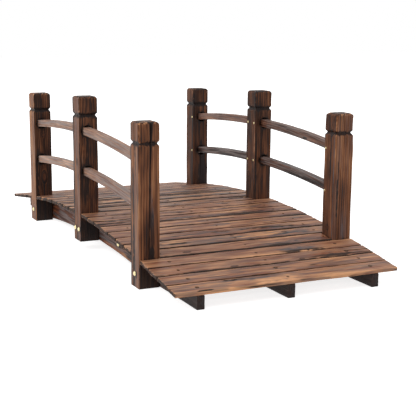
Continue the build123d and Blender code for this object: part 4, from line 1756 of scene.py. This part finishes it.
@dataclass
class Framing:
    """The sawn stringers and the splice battens that join their halves."""

    finish: Material
    pitch: float = 5.5 * MM
    edge: float = 1.0 * MM
    # On the south faces, with the height above their middle as the place. The marks 20 mm above the middle
    # are soot and painted shade under the planks, and the one from 203 to 215 is painted shade beside the
    # splice bolt.
    MARKS = {
        "stringer_south_west": (
            Mark(4, -462, -392, 20, -0.2, 0.14, -1.4),
            Mark(-8, -330, -90, 12, 0.0, 0.1, 0.5),
            Mark(20, -300, -20, 7, 0.6, -0.1, 0.4),
        ),
        "stringer_south_east": (
            Mark(-32, 60, 420, 5, 0.0, 0.3, -0.6),
            Mark(4, 40, 200, 9, 0.1, 0.1, -0.8),
            Mark(20, 40, 420, 8, 0.7, -0.05, 0.2),
            Mark(-12, 203, 215, 5, 1.4, 0.0, -0.5),
            SHADE_UNDER_RAMP,
        ),
        "stringer_centre_east": (SHADE_UNDER_RAMP,),
        "stringer_north_east": (SHADE_UNDER_RAMP,),
    }

    def build(self) -> None:
        """Builds the stringers and the splices."""
        splice_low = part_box("splice_centre")[0].z
        for node in sorted(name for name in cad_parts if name.startswith(("stringer_", "splice_"))):
            points = solids_of(node)[0].points
            low, high = points.min(axis=0), points.max(axis=0)
            top = upper_hull(points[:, [0, 2]])
            under = points[points[:, 2] < splice_low + 0.2 * MM][:, [0, 2]]
            under = under[under[:, 0].argsort()]
            stations = steps(low[0], high[0], self.pitch)
            top_z = np.interp(stations, *top.T)
            under_z = np.interp(stations, *under.T)
            flat = np.ones_like(stations)
            draw = np.random.default_rng(seed_of(node))
            middle_y = (low[1] + high[1]) / 2
            Timber(
                name=f"timber_{node}", nodes=(node,), slot="frame_timber", finish=self.finish,
                path=Straight(middle_y * Y_AXIS, X_AXIS, Y_AXIS, Z_AXIS), stations=stations,
                half_u=flat * (high[1] - low[1]) / 2, half_v=(top_z - under_z) / 2,
                middle_v=(top_z + under_z) / 2, ring=Ring((12, 5, 12, 5), 2), edge=flat * self.edge,
                pith=(draw.uniform(45, 80) * MM, draw.uniform(10, 90) * MM), ridge=0.2 * MM,
                sway=0.3 * MM, tint=draw.uniform(-0.1, 0.0), bloom=0.8, end_scorch=0.4, cut_scorch=1.1,
                stains=[mark.stain(Face.U_MINUS, 0.0, -1.0) for mark in self.MARKS.get(node, ())],
            ).build()


@dataclass(frozen=True)
class Turned:
    """A shape spun round an axis, or a nut where it has six sides.

    Its outline is pairs of radius and height, from its tip down to its foot, and it closes on the axis.
    """

    outline: tuple[Pair, ...]
    sides: int = 36

    @classmethod
    def mm(cls, *outline: Pair, sides: int = 36) -> "Turned":
        """A shape whose outline is given in millimetres."""
        return cls(tuple((radius * MM, height * MM) for radius, height in outline), sides)

    def add_to(self, grid: BMesh, seat: Vector, way: Vector) -> None:
        """Adds the shape to a mesh.

        Args:
            grid: the mesh.
            seat: where the shape stands.
            way: which way it points.
        """
        turn = way.to_track_quat("Z", "Y").to_matrix()
        rows: list[list[BMVert]] = []
        for radius, height in self.outline:
            count = self.sides if radius else 1
            angles = [2 * math.pi * step / self.sides for step in range(count)]
            ring = [Vector((radius * math.cos(a), radius * math.sin(a), height)) for a in angles]
            rows.append([grid.verts.new(seat + turn @ point) for point in ring])
        for upper, lower in zip(rows, rows[1:]):
            for step in range(self.sides):
                after = (step + 1) % self.sides
                corners = [upper[step % len(upper)], lower[step % len(lower)]]
                corners += [lower[after % len(lower)], upper[after % len(upper)]]
                grid.faces.new(list(dict.fromkeys(corners)))


@dataclass(frozen=True)
class CrossScrew:
    """The head of a raised countersunk screw, with a cross recess."""

    radius: float
    crown: float = 0.7 * MM
    arm_length: float = 0.56  # of the radius
    arm_width: float = 0.17  # of the radius
    recess: float = 1.5 * MM
    taper: float = 0.55  # size of the recess at its bottom
    foot: float = 1.2 * MM  # how far the rim goes on into the wood
    sides: int = 24

    def add_to(self, grid: BMesh, seat: Vector, way: Vector, spin: float) -> None:
        """Adds the head to a mesh.

        Args:
            grid: the mesh.
            seat: where the middle of its rim lies.
            way: which way it faces.
            spin: how far it is turned, in radians.
        """
        turn = way.to_track_quat("Z", "Y").to_matrix() @ Matrix.Rotation(spin, 3, "Z")
        long, wide = self.radius * self.arm_length, self.radius * self.arm_width
        quarter = [Vector((long, -wide, 0)), Vector((long, wide, 0)), Vector((wide, wide, 0))]
        quarters = [Matrix.Rotation(side * math.pi / 2, 3, "Z") for side in range(4)]
        cross = [quarter_turn @ point for quarter_turn in quarters for point in quarter]
        rows = []
        for reach, height in ((1.0, -self.foot), (1.0, 0.0), (0.82, self.crown * 0.62)):
            angles = (2 * math.pi * step / self.sides for step in range(self.sides))
            circle = (Vector((math.cos(a) * reach, math.sin(a) * reach, 0)) * self.radius for a in angles)
            rows.append([Vector((point.x, point.y, height)) for point in circle])
        rows.append([point + Vector((0, 0, self.crown)) for point in cross])
        rows.append([point * self.taper + Vector((0, 0, self.crown - self.recess)) for point in cross])
        placed = [[grid.verts.new(seat + turn @ point) for point in row] for row in rows]
        for upper, lower in zip(placed, placed[1:]):
            if len(upper) == len(lower):
                for step in range(len(upper)):
                    after = (step + 1) % len(upper)
                    grid.faces.new((upper[step], upper[after], lower[after], lower[step]))
            else:
                pairs = [pair for row in (upper, lower) for pair in zip(row, row[1:] + row[:1])]
                edges = [grid.edges.get(pair) or grid.edges.new(pair) for pair in pairs]
                bmesh.ops.bridge_loops(grid, edges=edges)
        for row in (placed[0], placed[-1]):
            bmesh.ops.triangulate(grid, faces=[grid.faces.new(row)])


@dataclass
class Fixings:
    """The bolts through posts, stringers and splices, and the rails' and the deck's screws."""

    plated: Material
    black: Material
    foot_bolt_height: float = 38 * MM
    middle_bolt_offset: float = 17 * MM
    splice_bolt_x: float = 200 * MM
    bolt_radius: float = 3.0 * MM
    bolt_proud: float = 2.2 * MM  # how far a bolt stands out of its nut
    head: Turned = Turned.mm(
        (0, 4.3), (2, 4.2), (3.8, 3.7), (5.4, 2.7), (6.5, 1.2), (6.8, 0.2), (6.8, 0), (0, 0)
    )
    washer: Turned = Turned.mm((0, 1.2), (7.6, 1.2), (8.0, 0.8), (8.0, 0.0), (0, 0))
    nut: Turned = Turned.mm((0, 6.2), (4.9, 6.2), (5.77, 5.6), (5.77, 1.8), (5.1, 1.2), (0, 1.2), sides=6)
    rail_screw: CrossScrew = CrossScrew(3.7 * MM)
    deck_screw: CrossScrew = CrossScrew(3.4 * MM)
    SHARP = math.radians(30)  # an edge is drawn sharp from this angle on

    def piece(self, name: str, grid: BMesh, finish: Material) -> None:
        """Turns a mesh in the making into a piece that rides on the bridge.

        Args:
            name: the piece's name.
            grid: the mesh in the making, which is freed.
            finish: its material.
        """
        bmesh.ops.recalc_face_normals(grid, faces=grid.faces)
        mesh = bpy.data.meshes.new(name)
        grid.to_mesh(mesh)
        grid.free()
        mesh.materials.append(finish)
        mesh.shade_smooth()
        mesh.set_sharp_from_angle(angle=self.SHARP)
        made = add_object(name, mesh)
        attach(made, BODY)
        log.info("%s: %d faces", name, len(mesh.polygons))

    def thread(self) -> Turned:
        """The threaded end of a bolt, with a ridge each millimetre.

        Returns:
            Its shape, standing on the face under the nut.
        """
        low = self.nut.outline[0][1]
        high = low + self.bolt_proud
        outline = [(0.0, high), (self.bolt_radius - 0.8 * MM, high)]
        count = 2 * math.ceil(self.bolt_proud / MM)
        for step in range(count + 1):
            ridge = 0.0 if step % 2 else 0.4 * MM
            outline.append((self.bolt_radius - ridge, high - 0.3 * MM - (high - low) * step / count))
        return Turned((*outline, (0.0, low - 0.5 * MM)))

    def bolts(self, name: str, bolts: list[tuple[float, float, float, float]]) -> None:
        """Makes a row of bolts across the bridge.

        Args:
            name: the piece's name.
            bolts: x and z of each bolt, then y of the face under its head and of the face under its nut.
        """
        grid = bmesh.new()
        for x, z, head_y, nut_y in bolts:
            outward = Vector((0, math.copysign(1, head_y - nut_y), 0))
            self.head.add_to(grid, Vector((x, head_y, z)), outward)
            for part in (self.washer, self.nut, self.thread()):
                part.add_to(grid, Vector((x, nut_y, z)), -outward)
        self.piece(name, grid, self.plated)

    def screws(self, name: str, heads: list[Placed], screw: CrossScrew, finish: Material) -> None:
        """Makes a row of screw heads, each turned as it came to rest.

        Args:
            name: the piece's name.
            heads: place and direction of each head.
            screw: the screw.
            finish: its material.
        """
        grid = bmesh.new()
        draw = np.random.default_rng(seed_of(name))
        for place, facing in heads:
            screw.add_to(grid, Vector(place), Vector(facing), draw.uniform(0, math.pi))
        self.piece(name, grid, finish)

    def build(self, rail_heads: list[Placed], deck_heads: list[Placed]) -> None:
        """Builds every fixing.

        Args:
            rail_heads: place and direction of each rail screw's head.
            deck_heads: place and direction of each deck screw's head.
        """
        for side, way in (("south", -1), ("north", 1)):
            stringer = [corner.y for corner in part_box(f"stringer_{side}_east")]
            inner_face = min(stringer, key=abs)
            outer_face = max(stringer, key=abs)
            feet = []
            for place in ("west", "middle", "east"):
                low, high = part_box(f"post_{side}_{place}")
                x, z = (low.x + high.x) / 2, low.z + self.foot_bolt_height
                face = max(low.y, high.y, key=abs)
                offset = self.middle_bolt_offset
                shifts = (-offset, offset) if place == "middle" else (0.0,)
                feet += [(x + shift, z, face, inner_face) for shift in shifts]
            self.bolts(f"foot_bolts_{side}", feet)
            self.splice_bolts(side, outer_face)
            heads = [head for head in rail_heads if head[0][1] * way > 0]
            self.screws(f"rail_screws_{side}", heads, self.rail_screw, self.plated)
        self.splice_bolts("centre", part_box("stringer_centre_east")[0].y)
        self.screws("deck_screws", deck_heads, self.deck_screw, self.black)

    def splice_bolts(self, side: str, head_face: float) -> None:
        """Makes the bolts through one splice.

        Args:
            side: the splice.
            head_face: y of the stringer's face under the heads.
        """
        low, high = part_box(f"splice_{side}")
        nut_face = max(low.y, high.y, key=lambda y: abs(y - head_face))
        z = (low.z + high.z) / 2
        places = (-self.splice_bolt_x, self.splice_bolt_x)
        self.bolts(f"splice_bolts_{side}", [(x, z, head_face, nut_face) for x in places])


@dataclass
class Studio:
    """Pale floor, plain soft light and the camera."""

    target: Vector = field(default_factory=lambda: Vector((0.0, 0.0, 203.3)) * MM)
    azimuth: float = 64.307
    elevation: float = 11.146
    roll: float = 0.443
    distance: float = 3287.2 * MM
    right: float = 106.15 * MM
    rise: float = -97.28 * MM
    lens: float = 87.27
    sensor_width: float = 36.0
    floor_size: float = 24.0
    world_light: float = 0.6
    floor_lift: float = 0.8  # how white the floor is where it is seen directly
    floor_level: float = -0.5 * MM

    @staticmethod
    def outward(azimuth: float, elevation: float) -> Vector:
        """Direction out of the middle: 0 azimuth is south, 90 is east, and both are in degrees."""
        a, e = math.radians(azimuth), math.radians(elevation)
        return Vector((math.sin(a) * math.cos(e), -math.cos(a) * math.cos(e), math.sin(e)))

    def camera(self) -> None:
        """Places the camera."""
        back = self.outward(self.azimuth, self.elevation)
        a, r = math.radians(self.azimuth), math.radians(self.roll)
        level = Vector((math.cos(a), math.sin(a), 0))
        up = back.cross(level)
        right = math.cos(r) * level + math.sin(r) * up
        up = math.cos(r) * up - math.sin(r) * level
        data = bpy.data.cameras.new("camera")
        data.sensor_width, data.lens = self.sensor_width, self.lens
        camera = add_object("camera", data)
        place = self.target + back * self.distance + right * self.right + up * self.rise
        camera.matrix_world = Matrix.Translation(place) @ Matrix((right, up, back)).transposed().to_4x4()
        bpy.context.scene.camera = camera

    def seen_directly(self, tree: NodeTree) -> Node:
        """Tells what the camera sees, straight or in gloss or glass, from what only lights the bridge.

        Args:
            tree: the node tree that asks.

        Returns:
            A node that gives 1 for the rays that are seen, else 0.
        """
        path = add_node(tree, "LightPath").outputs
        seen = add_node(tree, "Math", [path["Is Camera Ray"], path["Is Glossy Ray"]], operation="MAXIMUM")
        return add_node(tree, "Math", [seen, path["Is Transmission Ray"]], operation="MAXIMUM")

    def world(self) -> None:
        """Lights the scene evenly from all round, with white seen behind it."""
        world = bpy.data.worlds.new("studio")
        bpy.context.scene.world = world
        world.use_nodes = True
        tree = world.node_tree
        tree.nodes.clear()
        light = add_node(tree, "Background", [(1, 1, 1, 1), self.world_light])
        white = add_node(tree, "Background", [(1, 1, 1, 1), 1.0])
        mixed = add_node(tree, "MixShader", [self.seen_directly(tree), light, white])
        add_node(tree, "OutputWorld", [mixed])

    def floor(self) -> None:
        """Lays the floor, which keeps a soft shadow of the bridge."""
        half = self.floor_size / 2
        mesh = bpy.data.meshes.new("floor")
        corners = ((-half, -half), (half, -half), (half, half), (-half, half))
        mesh.from_pydata([(x, y, self.floor_level) for x, y in corners], [], [(0, 1, 2, 3)])
        floor = add_object("floor", mesh)
        made, tree = new_material("matt_white_floor")
        matt = add_node(tree, "BsdfDiffuse", {"Color": (0.8, 0.8, 0.8, 1)})
        lift = add_node(tree, "Math", [self.seen_directly(tree), self.floor_lift], operation="MULTIPLY")
        white = add_node(tree, "Emission", [(1, 1, 1, 1), lift])
        mixed = add_node(tree, "AddShader", [matt, white])
        add_node(tree, "OutputMaterial", [mixed])
        mesh.materials.append(made)

    def lamp(self, name: str, azimuth: float, elevation: float, softness: float, strength: float) -> None:
        """Hangs a far, wide lamp that lights the bridge and the floor evenly.

        Args:
            name: the lamp's name.
            azimuth: where it hangs round the bridge, in degrees, as for the camera.
            elevation: how high it hangs, in degrees.
            softness: how wide it looks from the bridge, in degrees.
            strength: its light, in watts a square metre.
        """
        data = bpy.data.lights.new(name, "SUN")
        data.angle, data.energy = math.radians(softness), strength
        lamp = add_object(name, data)
        lamp.rotation_euler = (-self.outward(azimuth, elevation)).to_track_quat("-Z", "Y").to_euler()

    def build(self) -> None:
        """Sets the whole studio up."""
        self.camera()
        self.world()
        self.floor()
        self.lamp("overhead_lamp", 20.0, 58.0, 50.0, 0.9)
        self.lamp("side_lamp", -25.0, 18.0, 60.0, 0.5)
        bpy.context.scene.view_settings.view_transform = "Standard"


def main() -> None:
    """Builds the bridge and its studio."""
    logging.basicConfig(level=logging.INFO, format="%(message)s")
    posts = ScorchedFir(
        "scorched_fir_posts", late_wood="#412414", brown="#7c4d32", tan="#af7b55", ring_depth=0.22,
        fibre=Figure(2.4 * MM, 120 * MM, 1.0), streak=Figure(4.8 * MM, 240 * MM, 2.0), streak_depth=0.6,
        patch=Figure(36 * MM, 120 * MM, 2.0), soot=Figure(9 * MM, 140 * MM, 3.0), soot_depth=1.3,
        char_from=1.07,
    ).material()
    rails = ScorchedFir(
        "scorched_fir_rails", brown="#7b5340", tan="#a67f68", pale="#dab096", bloom="#8b817e",
        level=0.52, ring_depth=0.08, fibre=Figure(2.2 * MM, 70 * MM, 2.0),
        streak=Figure(4.2 * MM, 110 * MM, 2.0), streak_depth=0.85,
        patch=Figure(24 * MM, 100 * MM, 2.0), patch_depth=0.55, haze=Figure(5 * MM, 130 * MM, 3.0),
        char_from=1.26, bloom_and_sheen_share=0.8, gloss=0.5, specular=0.38,
    ).material()
    deck = ScorchedFir(
        "scorched_fir_deck", char="#120a05", late_wood="#4d230c", brown="#814c31", tan="#b07d5c",
        pale="#dea273", bloom="#4f494a", level=0.64, ring_depth=0.08,
        fibre=Figure(3 * MM, 60 * MM, 2.0), fibre_depth=0.35, streak=Figure(8 * MM, 150 * MM, 2.0),
        streak_depth=0.75,
        patch=Figure(24 * MM, 110 * MM, 2.0), haze=Figure(12 * MM, 80 * MM, 2.0), char_from=1.28,
        gloss=0.42, char_matt=0.35, specular=0.4,
    ).material()
    framing = ScorchedFir(
        "scorched_fir_frame", late_wood="#4f240e", bloom="#857a78", level=0.33, ring_depth=0.07,
        fibre=Figure(2.4 * MM, 110 * MM, 1.0),
        streak=Figure(4.5 * MM, 240 * MM, 2.0), streak_depth=0.9,
        haze=Figure(7 * MM, 200 * MM, 2.0), char_from=1.08,
    ).material()
    Railing(rails).build()
    row = PostRow(posts)
    row.build()
    decking = Decking(deck)
    decking.build()
    Framing(framing).build()
    plated = PlatedSteel("yellow_zinc_plated_steel", "#f0e7c2", "#d0b678", 0.3).material()
    black = PlatedSteel("black_phosphated_steel", "#80614b", "#4c382c", 0.5).material()
    Fixings(plated, black).build(row.rail_screws, decking.screw_heads)
    Studio().build()


if __name__ == "__main__":
    main()
